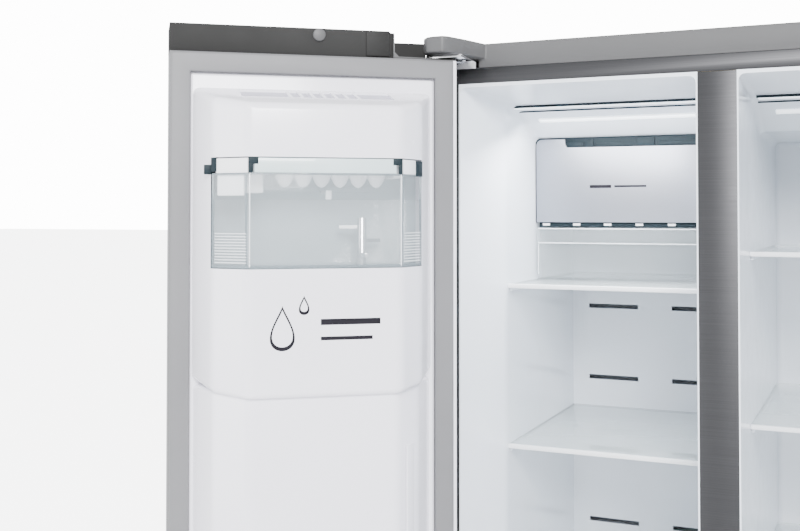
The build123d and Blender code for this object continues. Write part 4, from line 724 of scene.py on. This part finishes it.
# ---------------------------------------------------------------- ice maker in the freezer
def rounded_corner(corner, start, radius, steps=6):
    """Points of a quarter circle about a corner's centre, from a start angle in degrees, going clockwise."""
    angles = [radians(start - 90 * i / steps) for i in range(steps + 1)]
    return [(corner[0] + radius * cos(angle), corner[1] + radius * sin(angle)) for angle in angles]


def ice_maker_fascia():
    """Silver plate with a rounded corner and a notch, set in a dark outline."""
    y = CEILING[1][0]
    gap = 2.2
    x0, x1 = SIDE_WALL + gap, SIDE_WALL + FREEZER_W
    low, high = PANEL_LOW + 0.5, PANEL_TOP - gap
    notch_x, notch_z = ICE_SLOT
    outline = [(x1, low), (x0, low)]
    outline += rounded_corner((x0 + 9, high - 9), 180, 9)
    outline += [(notch_x - 1, high)]
    outline += [(notch_x - 1, notch_z + 4), (notch_x, notch_z + 1.2), (notch_x + 4, notch_z), (x1, notch_z)]
    bm = bmesh.new()
    add_prism(bm, outline, y + 0.4, y + 3.6, "y", 0.7, 2)
    piece("ice_maker_fascia", bm, CABINET, "cabinet", "silver_panel", ("ice_maker_panel",))
    bm = bmesh.new()
    add_box(bm, (SIDE_WALL + 0.4, x1 - 0.4), (y + 2.6, y + 4.2), (PANEL_LOW, notch_z - 2), 0.4)
    add_box(bm, (SIDE_WALL + 0.4, notch_x - 4), (y + 2.6, y + 4.2), (PANEL_LOW, PANEL_TOP - 0.4), 0.4)
    piece("ice_maker_outline", bm, CABINET, "cabinet", "slate_plastic")
    bm = bmesh.new()
    works = ((2, 26, 8, 1.5), (32, 14, 12, 3.2), (50, 60, 6, 2.2), (116, 28, 13, 3.4), (150, 92, 7, 2))
    for start, wide, tall, deep in works:
        left = notch_x + start
        add_box(bm, (left, left + wide), (y + 4 - deep, y + 5), (notch_z + 1, notch_z + 1 + tall), 0.6)
    piece("ice_maker_works", bm, CABINET, "cabinet", "slate_plastic")
    bm = bmesh.new()
    add_box(bm, (SIDE_WALL + 6, x1 - 2), (y + 5, y + 9), (PANEL_LOW - 7, PANEL_LOW), 0.6)
    piece("ice_maker_under_strip", bm, CABINET, "cabinet", "slate_plastic")
    bm = bmesh.new()
    add_box(bm, (SIDE_WALL + 12, SIDE_WALL + 24), (y + 3.6, y + 5.4), (PANEL_LOW - 5, PANEL_LOW - 1.2), 0.5)
    row("ice_maker_tabs", bm, 6, (51.0, 0, 0), CABINET, "cabinet", "trim_white")
    bm = bmesh.new()
    for x, z, tall in (((161, 196), TOP - 203, 5.0), ((201, 252), TOP - 202, 3.2)):
        add_box(bm, x, (y + 0.15, y + 0.6), (z, z + tall), 0.1, 1)
    piece("ice_maker_plain_mark", bm, CABINET, "cabinet", "slate_plastic", material=MARK_GREY)


def craft_bin_lines():
    """Rim, band edge and sides of the clear tub under the ice maker, drawn as brighter frosted strips: painted
    highlights along its edges.
    """
    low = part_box("craft_ice_bin")
    x = ((low[0].x - LEFT) / MM + 1.5, (low[1].x - LEFT) / MM - 1.5)
    y = (low[0].y - FRONT) / MM
    top = low[1].z / MM
    bm = bmesh.new()
    for z in (top - 2.0, top - 25.5):
        add_box(bm, x, (y - 0.6, y + 1.2), (z, z + 2.0), 0.5)
    for side in x:
        add_box(bm, (side - 0.8, side + 0.8), (y + 2.6, y + 4.6), (top - 76, top - 26), 0.5)
    # Painted highlight: brighter frosted strips where the clear tub's edges catch the light.
    piece("craft_ice_bin_rim", bm, CABINET, "craft_ice_bin", "clear_white")


# ---------------------------------------------------------------- freezer door
def spread_plan(plan, amount):
    """A bay plan moved inwards by an amount on every side."""
    middle = sum(u for u, _ in plan) / len(plan)
    return [(u + (amount if u < middle else -amount), h - amount) for u, h in plan]


def housing_roof(h):
    return HOUSING_TOP - HOUSING_FALL * (h - 2) / (BAY_D - 2)


def housing_floor(h):
    return HOUSING_LOW + 14 - 14 * (h - 2) / (BAY_D - 2)


def vent_recess():
    """Cutter for the long shallow recess across the housing's roof."""
    bm = bmesh.new()
    plan = [(VENT_U[0], VENT_H[0]), (VENT_U[1], VENT_H[0]), (VENT_U[1], VENT_H[1]), (VENT_U[0], VENT_H[1])]
    add_sloped(bm, plan, lambda h: housing_roof(h) - VENT_DROP, lambda h: housing_roof(h) + 6)
    return bm


def vent_ribs():
    """Floor of the recess in a greyer lilac that is painted shade, and the ribs that part its middle."""
    inset = 0.6
    u, h = (VENT_U[0] + inset, VENT_U[1] - inset), (VENT_H[0] + inset, VENT_H[1] - inset)
    bm = bmesh.new()
    plan = [(u[0], h[0]), (u[1], h[0]), (u[1], h[1]), (u[0], h[1])]
    sunk = VENT_DROP + 0.4, VENT_DROP - 0.3
    add_sloped(bm, plan, lambda d: housing_roof(d) - sunk[0], lambda d: housing_roof(d) - sunk[1])
    # Painted shade: the recess floor takes the greyer lilac in place of the shade in the recess.
    piece("housing_vent_floor", bm, FREEZER_DOOR, "freezer_door", "liner_white", material=VENT_PAINTED_SHADE)
    start = VENT_MIDDLE - 3 * VENT_PITCH
    half = VENT_RIB / 2
    bm = bmesh.new()
    plan = [(start - half, h[0]), (start + half, h[0]), (start + half, h[1]), (start - half, h[1])]
    add_sloped(bm, plan, lambda d: housing_roof(d) - VENT_DROP, lambda d: housing_roof(d) - 0.3)
    row("housing_vent_ribs", bm, 7, (VENT_PITCH, 0, 0), FREEZER_DOOR, "freezer_door", "liner_white")


def ice_housing():
    """Rounded white bay with a window for the bin and vents in its roof."""
    bm = bmesh.new()
    add_sloped(bm, BAY_PLAN, housing_floor, housing_roof)
    shell = rounded(loose_object("ice_housing_shell", bm, FREEZER_DOOR), 9.0, 5, 12.0)
    bm = bmesh.new()
    inner = spread_plan(BAY_PLAN, BAY_WALL)
    add_sloped(bm, inner, lambda h: housing_floor(h) + BAY_WALL, lambda h: housing_roof(h) - BAY_WALL)
    cut(shell, rounded(loose_object("hollow", bm, FREEZER_DOOR), 5.0, 3, 12.0))
    bm = bmesh.new()
    front = BAY_D + 4
    window = [(70.0, 12.0), (343.0, 12.0), (343.0, 75.4), (300.0, front), (105.5, front), (70.0, 75.4)]
    add_prism(bm, window, BIN_LOW - 1, BIN_TOP + 1)
    cut(shell, loose_object("window", bm, FREEZER_DOOR))
    cut(shell, loose_object("recess", vent_recess(), FREEZER_DOOR))
    fit(shell, "freezer_door", "liner_white", ("ice_housing",), 24.0)
    vent_ribs()


def housing_inside():
    """Back wall, sill and side posts seen through the bin, in a dark blue-grey that is painted shade, with the
    full-bin feeler.
    """
    bm = bmesh.new()
    add_box(bm, (62, 346), (7.5, 10.5), (BIN_LOW - 14, BIN_TOP + 40), 1.0)
    add_prism(bm, spread_plan(BAY_PLAN, 4.0), BIN_LOW - 8, BIN_LOW - 3, "z", 1.0, 2)
    for u in ((116, 196), (200, 280)):
        add_box(bm, u, (10, 13), (BIN_LOW + 96, BIN_LOW + 104), 1.0)
    # Painted shade: these white inner parts take the dark blue-grey in place of the shade inside the housing.
    piece("ice_housing_inside", bm, FREEZER_DOOR, "freezer_door", "inner_white", material=HOUSING_PAINTED_SHADE)
    bm = bmesh.new()
    add_box(bm, (188, 194), (30, 56), (TRAY_TOP - 38, TRAY_TOP - 34), 1.0)
    add_box(bm, (187, 195), (52, 57), (TRAY_TOP - 46, TRAY_TOP - 34), 1.2)
    add_box(bm, (188, 194), (11, 31), (TRAY_TOP - 38, TRAY_TOP - 34), 1.0)
    piece("ice_level_feeler", bm, FREEZER_DOOR, "freezer_door", "trim_white")


def ice_tray():
    """Row of six round cups hanging from a flat rim, with a trunnion at each end."""
    u0, u1 = 118.0, 262.0
    axis_h = 62.0
    low = TRAY_TOP - 8
    pitch = (u1 - u0) / 6
    bm = bmesh.new()
    add_box(bm, (u0, u1), (axis_h - 26, axis_h + 26), (low, TRAY_TOP), 1.4, 3)
    profile = [(0.6, -23.0), (4.5, -21.6), (8.2, -17.5), (11.0, -11.5), (13.0, -5.0), (14.2, 1.0)]
    for index in range(6):
        centre = (u0 + (index + 0.5) * pitch, axis_h + 4, low)
        add_turned(bm, profile, centre, "z", 28)
    add_turned(bm, [(4, 98), (4, 286)], (0, axis_h, TRAY_TOP - 8), "x", 24)
    piece("ice_tray_cups", bm, FREEZER_DOOR, "ice_tray", "trim_white", ("ice_tray",), 36.0)


def ice_bin():
    """Clear tub with a high front, a low back, floor outlet and rail seats."""
    inner = [(BIN_PLAN[0][0] + BIN_T, 17), (BIN_PLAN[1][0] - BIN_T, 17), (339, 74), (339, 74.4)]
    inner += [(298.2, BAY_D - BIN_T), (107.3, BAY_D - BIN_T), (74, 74.4), (74, 74)]
    low_top = BIN_TOP - BIN_STEP
    tops = [low_top] * 3 + [RAIL_LOW] * 4 + [low_top]
    bm = bmesh.new()
    add_tub(bm, BIN_PLAN, inner, BIN_LOW, BIN_LOW + BIN_T, tops)
    tub = rounded(loose_object("ice_bin_tub", bm, FREEZER_DOOR), 1.1, 2, 20.0)
    bm = bmesh.new()
    add_turned(bm, [(20, BIN_LOW - 5), (20, BIN_LOW + 8)], (210, 78, 0), "z", 40)
    cut(tub, loose_object("outlet", bm, FREEZER_DOOR))
    fit(tub, "ice_bin", "clear_plastic", ("ice_bin",), 24.0)


def between(a, b, share):
    return (a[0] + (b[0] - a[0]) * share, a[1] + (b[1] - a[1]) * share)


def shoulder(wall, start, end, out, inside):
    """Plan of a strip along a slanted wall, between two shares of its length."""
    return strip_plan(between(*wall, start), between(*wall, end), out, inside)


def strip_plan(a, b, out, inside):
    """Plan of a strip along a wall from a to b, standing out by out and in by inside."""
    length = ((b[0] - a[0]) ** 2 + (b[1] - a[1]) ** 2) ** 0.5
    n = ((b[1] - a[1]) / length, -(b[0] - a[0]) / length)
    corners = ((a, out), (b, out), (b, -inside), (a, -inside))
    return [(p[0] + n[0] * d, p[1] + n[1] * d) for p, d in corners]


def bin_rails():
    """Aqua rail across the front, white rails on the shoulders and the dark clips at the corners."""
    bm = bmesh.new()
    add_box(bm, (112.5, 293.0), (BAY_D - 6.6, BAY_D - 0.9), (RAIL_LOW, BIN_TOP), 1.2, 3)
    piece("ice_bin_front_rail", bm, FREEZER_DOOR, "ice_bin", "aqua_rail", ("ice_bin_rail",))
    bm = bmesh.new()
    add_prism(bm, shoulder(LEFT_SHOULDER, 0.1, 0.96, -0.2, 4.2), RAIL_LOW, BIN_TOP - 0.4, "z", 0.8, 2)
    add_prism(bm, shoulder(RIGHT_SHOULDER, 0.1, 0.72, -0.2, 4.2), RAIL_LOW, BIN_TOP - 0.4, "z", 0.8, 2)
    add_prism(bm, shoulder(LEFT_SHOULDER, 0.1, 0.82, -3.4, 6.0), BIN_TOP - 47, RAIL_LOW - 0.5, "z", 0.8, 2)
    piece("ice_bin_side_rails", bm, FREEZER_DOOR, "ice_bin", "trim_white")
    bm = bmesh.new()
    clip = (BAY_D - 5, BAY_D)
    for u, z in (
        ((288.0, 300.0), (BIN_TOP - 8, BIN_TOP + 0.4)), ((294.5, 300.0), (RAIL_LOW, BIN_TOP - 7)),
        ((105.0, 117.0), (BIN_TOP - 8, BIN_TOP + 0.4)), ((105.0, 109.5), (RAIL_LOW - 1, BIN_TOP - 7)),
    ):
        add_box(bm, u, clip, z, 0.5)
    add_prism(bm, shoulder(LEFT_SHOULDER, -0.02, 0.12, 0.9, 4), BIN_TOP - 17, BIN_TOP + 0.4, "z", 0.5, 2)
    add_prism(bm, shoulder(RIGHT_SHOULDER, 0.72, 1.03, 0.9, 4), RAIL_LOW - 2, BIN_TOP - 1, "z", 0.5, 2)
    add_box(bm, (341.0, 351.5), (63, 70), (RAIL_LOW - 1, BIN_TOP - 8), 0.6)
    piece("ice_bin_clips", bm, FREEZER_DOOR, "ice_bin", "slate_plastic")


def bin_outline():
    """Dark strips along the clear tub's edges, where its walls are seen end on: painted shade for how the clear
    walls darken edge on.
    """
    bm = bmesh.new()
    path = [(342.0, 72.0), (342.0, 75.0), (299.5, BAY_D), (106.0, BAY_D), (71.0, 75.0), (71.0, 72.0)]
    for a, b in zip(path, path[1:]):
        add_prism(bm, strip_plan(a, b, -0.1, 3.2), BIN_LOW + 0.2, BIN_LOW + 3.4, "z", 0.5, 1)
        add_prism(bm, strip_plan(a, b, -0.1, 2.2), RAIL_LOW - 2.2, RAIL_LOW - 0.3, "z", 0.4, 1)
    for u, h in ((339.8, 71.5), (71.2, 71.5), (301.6, BAY_D - 6.0), (102.8, BAY_D - 7.2)):
        add_box(bm, (u, u + 2.0), (h, h + 2.6), (BIN_LOW + 2, RAIL_LOW - 2), 0.6)
    # Painted shade: dark strips and corner streaks where the clear walls are seen end on.
    piece("ice_bin_edges", bm, FREEZER_DOOR, "ice_bin", "clear_plastic", material=BIN_EDGE_PAINTED_SHADE)


def bin_ribs():
    """Fine grip ribs low on both shoulders, and a bright line down each front corner that is a painted highlight.
    """
    for name, wall in (("left", LEFT_SHOULDER), ("right", RIGHT_SHOULDER)):
        bm = bmesh.new()
        add_prism(bm, shoulder(wall, 0.08, 0.93, 0.7, 0.3), BIN_LOW + 6, BIN_LOW + 7.6, "z", 0.4, 1)
        row(f"ice_bin_ribs_{name}", bm, 11, (0, 0, 3.6), FREEZER_DOOR, "ice_bin", "clear_white")
    # Painted highlight: frosted strips down the clear tub's front corners, where the corners catch the light.
    bm = bmesh.new()
    for u in (298.6, 106.8):
        add_box(bm, (u - 0.9, u + 0.9), (BAY_D - 1.6, BAY_D + 0.1), (BIN_LOW + 1.5, RAIL_LOW - 1), 0.4)
    piece("ice_bin_corner_lines", bm, FREEZER_DOOR, "ice_bin", "clear_white")
    for name, u in (("left", 298.6), ("right", 106.8)):
        bm = bmesh.new()
        add_turned(bm, [(0.2, 0.7), (0.8, 0.5), (0.9, 0)], (u, BAY_D, BIN_LOW + 4), "y", 10)
        row(f"ice_bin_dots_{name}", bm, 9, (0, 0, 4.4), FREEZER_DOOR, "ice_bin", "trim_white")


def ridge(bm, width, low, high, depth):
    """Raised edges down both sides of a door liner, with soft corners."""
    outer = 37.0 + 0.3 * depth
    plan = [(37.0, 1.0), (outer + 14.0, 1.0), (outer + 8.0, depth), (outer, depth)]
    add_prism(bm, plan, low, high, "z", 3.4, 3)
    add_prism(bm, [(width - u, h) for u, h in plan], low, high, "z", 3.4, 3)


def freezer_door_liner():
    """White inner panel: flat sheet, raised rounded field, the bulge behind the dispenser and the ridges."""
    width = FREEZER_DOOR_W
    bm = bmesh.new()
    add_box(bm, (1.2, width - 1.2), (0, 2), (SKIN_LOW, SKIN_TOP), 0.4)
    add_box(bm, (LINER_U, width - 26.9), (1, 8), (DOOR_BOTTOM + 35, LINER_TOP), 4.5, 4)
    column = [(u + (2 if u < DOOR_MID else -2), h if h < 2 else h - 10) for u, h in BAY_PLAN]
    add_prism(bm, column, COLUMN_Z[0], HOUSING_LOW + 8, "z", 7.0, 4)
    ridge(bm, width, 110, 900, 85)
    lining = loose_object("freezer_door_lining", bm, FREEZER_DOOR)
    bm = bmesh.new()
    hollow = [(u + (4 if u < DOOR_MID else -4), h - 3) for u, h in column]
    add_prism(bm, hollow, COLUMN_Z[0] + 4, HOUSING_LOW + 4, "z", 4.0, 3)
    cut(lining, loose_object("column_hollow", bm, FREEZER_DOOR), True)
    fit(lining, "freezer_door", "liner_white", ("freezer_door_liner",), 28.0)
    bm = bmesh.new()
    side = ((104.0, BAY_D - 10), (73.0, 65.0))
    add_prism(bm, shoulder(side, 0.3, 0.72, 0.9, 1.0), COLUMN_Z[0] + 30, HOUSING_LOW - 68, "z", 0.8, 3)
    piece("freezer_door_lining_pad", bm, FREEZER_DOOR, "freezer_door", "liner_white")


def water_drop(size, steps=48):
    """Outline of a plain drop about the origin."""
    points = []
    for index in range(steps):
        t = 2 * pi * index / steps
        points.append((0.8 * size * sin(t) * sin(t / 2) ** 1.6, size * cos(t)))
    return points


def close_loops(bm, loops):
    """Skin from each loop to the next, and from the last to the first."""
    count = len(loops[0])
    for first, second in zip(loops, loops[1:] + loops[:1]):
        for i in range(count):
            j = (i + 1) % count
            bm.faces.new((first[i], first[j], second[j], second[i]))


def add_ring(bm, outline, centre, scale, low, high):
    """Flat band between an outline and its smaller copy, lying in u and z."""
    loops = []
    for factor, level in ((1, low), (1, high), (scale, high), (scale, low)):
        points = [(centre[0] + a * factor, level, centre[1] + b * factor) for a, b in outline]
        loops.append([bm.verts.new(point) for point in points])
    close_loops(bm, loops)


def housing_marks():
    """Plain printed marks: a drop outline and two bars."""
    bm = bmesh.new()
    face = (BAY_D - 0.05, BAY_D + 0.25)
    add_ring(bm, water_drop(28.0), (258.0, TOP - 386.0), 0.83, *face)
    add_ring(bm, water_drop(12.0), (231.0, TOP - 358.0), 0.68, *face)
    for u, z, tall in (((134.0, 210.0), TOP - 383.0, 7.5), ((144.0, 210.0), TOP - 402.0, 4.6)):
        add_box(bm, u, face, (z, z + tall), 0.1, 1)
    piece("housing_plain_marks", bm, FREEZER_DOOR, "freezer_door", "slate_plastic", material=MARK_GREY)


def cap_recess():
    """Step, raised edge and gusset beside the hinge on the freezer door's cap."""
    bm = bmesh.new()
    add_box(bm, (94.6, 96.8), (-16, 2.6), (TOP - 26, TOP + 4.6), 0.8, 2)
    piece("cap_recess_step", bm, FREEZER_DOOR, "freezer_door", "cap_grey")
    # The raised edge is drawn in the lighter trim grey against the dark cap: a painted highlight along the
    # recess's corner. The gusset shares that grey.
    bm = bmesh.new()
    rim = [(24, -28.2), (84, -28.2), (90, -22), (90, 4), (91.4, 4), (91.4, -30), (24, -30)]
    add_prism(bm, [(u, TOP + rise) for u, rise in rim], 0.2, 2.6, "y", 0.4, 2)
    add_prism(bm, [(88, TOP - 27.5), (74, TOP - 27.5), (88, TOP - 6)], -40, -38.4, "y", 0.4, 1)
    piece("cap_recess_edge", bm, FREEZER_DOOR, "freezer_door", "trim_grey")


def cap_bumper(name, width, place, body):
    """Round grey bumper pressed into the door's top cap."""
    bm = bmesh.new()
    profile = [(8.7, -2.0), (8.7, 1.6), (8.2, 2.6), (7.0, 3.2), (0.5, 3.4)]
    add_turned(bm, profile, (width * 0.495, 0, TOP - 2.0), "y", 40)
    piece(name, bm, place, body, "trim_grey")


def gasket(name, width, place, body, node):
    """Magnetic vinyl seal: a broad flat face with a chamfered outer edge, mitred at the corners."""
    profile = [
        (0.0, 2.0), (0.0, 6.8), (0.9, 8.2), (2.8, 11.0), (4.4, 11.5),
        (24.2, 11.5), (25.8, 11.1), (26.6, 10.2), (27.0, 8.8), (27.0, 2.0),
    ]
    bm = bmesh.new()
    loops = []
    for inset, height in profile:
        u0, u1 = GASKET_U + inset, width - inset
        z0, z1 = DOOR_BOTTOM + GASKET_U + inset, CAP_BOTTOM - inset
        loops.append([bm.verts.new((u, height, z)) for u, z in ((u0, z0), (u1, z0), (u1, z1), (u0, z1))])
    close_loops(bm, loops)
    piece(name, bm, place, body, "gasket", (node,), 50.0)


# ---------------------------------------------------------------- dispenser
def dispenser_front():
    """Glossy control glass with plain marks, the lamp line and the grid of the drip tray."""
    face = -DOOR_T - 3.0
    bm = bmesh.new()
    add_box(bm, (DOOR_MID - 106, DOOR_MID + 106), (face - 1.2, face + 1), (1298, 1392), 1.0, 3)
    piece("dispenser_glass", bm, FREEZER_DOOR, "freezer_door", "black_plastic")
    bm = bmesh.new()
    marks = (face - 1.45, face - 1.1)
    add_ring(bm, water_drop(9.0), (DOOR_MID - 60, 1345), 0.82, *marks)
    add_ring(bm, [(-7, -7), (7, -7), (7, 7), (-7, 7)], (DOOR_MID, 1345), 0.8, *marks)
    turns = [2 * pi * i / 32 for i in range(32)]
    add_ring(bm, [(8 * cos(turn), 8 * sin(turn)) for turn in turns], (DOOR_MID + 60, 1345), 0.8, *marks)
    for middle in (-60, 0, 60):
        add_box(bm, (DOOR_MID + middle - 14, DOOR_MID + middle + 14), marks, (1316, 1318), 0.1, 1)
    piece("dispenser_marks", bm, FREEZER_DOOR, "freezer_door", "lens_white")
    bm = bmesh.new()
    add_box(bm, (DOOR_MID - 70, DOOR_MID + 70), (-60, -54), (1284, 1289), 1.0)
    piece("dispenser_lamp", bm, FREEZER_DOOR, "freezer_door", "lens_white")
    bm = bmesh.new()
    u0, u1 = DOOR_MID - 99, DOOR_MID + 99
    floor = RECESS_Z[0]
    outer = [(u0, -78), (u1, -78), (u1, -6), (u0, -6)]
    inner = [(u0 + 4, -74), (u1 - 4, -74), (u1 - 4, -10), (u0 + 4, -10)]
    add_tub(bm, outer, inner, floor + 0.3, floor + 3, [floor + 12] * 4)
    piece("drip_tray_pan", bm, FREEZER_DOOR, "drip_tray", "black_plastic", ("drip_tray",))
    bm = bmesh.new()
    add_box(bm, (u0 + 5, u0 + 8), (-75, -9), (floor + 7, floor + 10.5), 0.8)
    row("drip_tray_bars", bm, 19, (10.2, 0, 0), FREEZER_DOOR, "drip_tray", "bright_metal")


# ---------------------------------------------------------------- fresh food door
def fridge_door_liner():
    """White inner panel with soft ridges and the open box for butter."""
    width = FRIDGE_DOOR_W
    bm = bmesh.new()
    add_box(bm, (1.2, width - 1.2), (0, 2), (SKIN_LOW, SKIN_TOP), 0.4)
    add_box(bm, (LINER_U, width - 26.9), (1, 8), (DOOR_BOTTOM + 35, LINER_TOP), 4.5, 4)
    ridge(bm, width, 110, 780, 46)
    ridge(bm, width, 790, TOP - 106, 85)
    side = 37.0 + 0.3 * 92 + 2
    box = (TOP - 218, TOP - 106)
    for z in ((box[0], box[0] + 4), (box[1] - 4, box[1])):
        add_box(bm, (side, width - side), (1, 92), z, 1.6, 3)
    for u in ((side, side + 4), (width - side - 4, width - side)):
        add_box(bm, u, (1, 92), box, 1.6, 3)
    piece("fridge_door_lining", bm, FRIDGE_DOOR, "fridge_door", "liner_white", ("fridge_door_liner",), 28.0)


def basket_trims():
    """White rim along the top of each door basket's front."""
    freezer, fridge = (FREEZER_DOOR, FREEZER_DOOR_W), (FRIDGE_DOOR, FRIDGE_DOOR_W)
    baskets = {
        "freezer_basket_upper": (*freezer, 98),
        "freezer_basket_lower": (*freezer, 98),
        "fridge_basket_upper": (*fridge, 98),
        "fridge_basket_middle": (*fridge, 98),
        "fridge_basket_lower": (*fridge, 58),
    }
    for node, (place, width, depth) in baskets.items():
        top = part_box(node)[1].z / MM
        bm = bmesh.new()
        add_box(bm, (80, width - 80), (depth - 4.5, depth + 1.2), (top - 9, top + 1.2), 1.4, 3)
        piece(node + "_rim", bm, place, node, "trim_white")


def drawer_fronts():
    """Grip ledges along the drawers' top front edges."""
    freezer_drawers = ("freezer_drawer_upper", "freezer_drawer_lower")
    for node in (*freezer_drawers, "deli_drawer", "crisper_upper", "crisper_lower"):
        low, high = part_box(node)
        x = ((low.x - LEFT) / MM + 30, (high.x - LEFT) / MM - 30)
        y = (low.y - FRONT) / MM
        bm = bmesh.new()
        add_box(bm, x, (y - 0.6, y + 15), (high.z / MM - 5.5, high.z / MM + 0.4), 1.6, 3)
        piece(node + "_grip", bm, CABINET, node, "trim_white")


# ---------------------------------------------------------------- outside
def cabinet_screws():
    """Screws of the hinge plates, the rear panel and the machine cover."""
    spots = []
    for x in (16, WIDTH - 16, WIDTH / 2):
        for z in (260, 620, 1000, 1380, 1700):
            spots.append(((x, DEPTH, z), (0, 1, 0)))
    for x in range(40, int(WIDTH), 138):
        spots.append(((x, DEPTH, 48), (0, 1, 0)))
        spots.append(((x, DEPTH, 220), (0, 1, 0)))
    screws("rear_screws", spots, CABINET, "cabinet")
    plate = TOP - 26
    spots = [((x, y, plate), (0, 0, -1)) for x in (16, 50, WIDTH - 50, WIDTH - 16) for y in (-22,)]
    screws("hinge_screws", spots, CABINET, "cabinet", 3.4, 1.1)


def condenser_fins():
    """Thin cooling plates on the condenser's tubes."""
    low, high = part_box("condenser_coil")
    x0 = (low.x - LEFT) / MM + 12
    y = ((low.y - FRONT) / MM + 4, (high.y - FRONT) / MM - 4)
    z = (low.z / MM + 8, high.z / MM - 6)
    bm = bmesh.new()
    add_box(bm, (x0, x0 + 0.8), y, z)
    row("condenser_fins", bm, 34, (6.3, 0, 0), CABINET, "cabinet", "raw_aluminium")


def build():
    for node, width in EASED.items():
        eased(node, width, 3 if width > 1.5 else 2)
    for node in KEPT:
        dressed(node)
    room_lining("freezer_lining", FREEZER_W, CABINET, "freezer_liner")
    room_lining("fridge_lining", FRIDGE_W, CABINET_RIGHT, "fridge_liner")
    shelf_ledges("freezer_ledges", FREEZER_W, FREEZER_SHELVES, CABINET, ROOM_BACK - 56)
    shelf_ledges("fridge_ledges", FRIDGE_W, FRIDGE_SHELVES, CABINET_RIGHT, ROOM_BACK - 32)
    light_strip("freezer_light", FREEZER_W, CABINET, ("interior_lights",))
    light_strip("fridge_light", FRIDGE_W, CABINET_RIGHT)
    ice_maker_fascia()
    craft_bin_lines()
    ice_housing()
    housing_inside()
    ice_tray()
    ice_bin()
    bin_rails()
    bin_outline()
    bin_ribs()
    freezer_door_liner()
    fridge_door_liner()
    housing_marks()
    cap_recess()
    cap_bumper("freezer_bumper", FREEZER_DOOR_W, FREEZER_DOOR, "freezer_door")
    cap_bumper("fridge_bumper", FRIDGE_DOOR_W, FRIDGE_DOOR, "fridge_door")
    gasket("freezer_seal", FREEZER_DOOR_W, FREEZER_DOOR, "freezer_door", "freezer_door_gasket")
    gasket("fridge_seal", FRIDGE_DOOR_W, FRIDGE_DOOR, "fridge_door", "fridge_door_gasket")
    dispenser_front()
    basket_trims()
    drawer_fronts()
    cabinet_screws()
    condenser_fins()


# ---------------------------------------------------------------- studio
def floor():
    """Pale floor, lightened where the lens sees it directly."""
    bpy.ops.mesh.primitive_plane_add(size=160, location=(0, 0, -0.0005))
    plane = bpy.context.object
    plane.name = "studio_floor"
    material, tree, node = shader("pale_floor", (0.9, 0.9, 0.9), 0.6)
    tint(tree, node, noise(tree, 1.5), (0.9, 0.9, 0.9), (0.93, 0.93, 0.93))
    output = tree.nodes["Material Output"]
    glow = add(tree, "ShaderNodeEmission", Strength=FLOOR_WHITE)
    both = tree.nodes.new("ShaderNodeAddShader")
    path = tree.nodes.new("ShaderNodeLightPath")
    mix = tree.nodes.new("ShaderNodeMixShader")
    wire(
        tree,
        (node, 0, both, 0),
        (glow, 0, both, 1),
        (path, "Is Camera Ray", mix, 0),
        (node, 0, mix, 1),
        (both, 0, mix, 2),
        (mix, 0, output, "Surface"),
    )
    plane.data.materials.append(material)


def soft_light(name, place, target, size, power):
    data = bpy.data.lights.new(name, "AREA")
    data.shape = "RECTANGLE"
    data.size, data.size_y = size
    data.energy = power
    lamp = bpy.data.objects.new(name, data)
    lamp.location = place
    lamp.rotation_euler = (Vector(target) - Vector(place)).to_track_quat("-Z", "Y").to_euler()
    bpy.context.scene.collection.objects.link(lamp)


def white_room():
    """Even white surroundings, brighter where the lens sees them directly."""
    world = bpy.data.worlds.new("white_room")
    bpy.context.scene.world = world
    world.use_nodes = True
    tree = world.node_tree
    tree.nodes.clear()
    output = tree.nodes.new("ShaderNodeOutputWorld")
    seen = add(tree, "ShaderNodeBackground", Color=(1, 1, 1, 1), Strength=SEEN_WHITE)
    lit = add(tree, "ShaderNodeBackground", Color=(0.96, 0.98, 1.0, 1), Strength=LIT_WHITE)
    path = tree.nodes.new("ShaderNodeLightPath")
    mix = tree.nodes.new("ShaderNodeMixShader")
    wire(
        tree,
        (path, "Is Camera Ray", mix, 0),
        (lit, 0, mix, 1),
        (seen, 0, mix, 2),
        (mix, 0, output, "Surface"),
    )


def camera():
    data = bpy.data.cameras.new("camera")
    data.sensor_width = 36.0
    data.lens = 47.51
    data.shift_y = -0.0944
    data.clip_start = 0.05
    eye = bpy.data.objects.new("camera", data)
    eye.location = (0.13076, -1.50066, 1.53369)
    eye.rotation_euler = (radians(91.28), 0, radians(24.35))
    bpy.context.scene.collection.objects.link(eye)
    bpy.context.scene.camera = eye


SEEN_WHITE = 14.0
FLOOR_WHITE = 5.0
LIT_WHITE = 1.7

build()
floor()
white_room()
soft_light("key", (1.4, -3.4, 3.2), (-0.5, 0, 1.5), (1.8, 1.4), 330)
soft_light("fill", (-2.8, -2.4, 1.6), (0, 0, 1.0), (2.4, 2.4), 70)
soft_light("freezer_glow", (-0.237, 0.05, 1.66), (-0.237, 0.2, 1.2), (0.24, 0.2), 2.6)
camera()
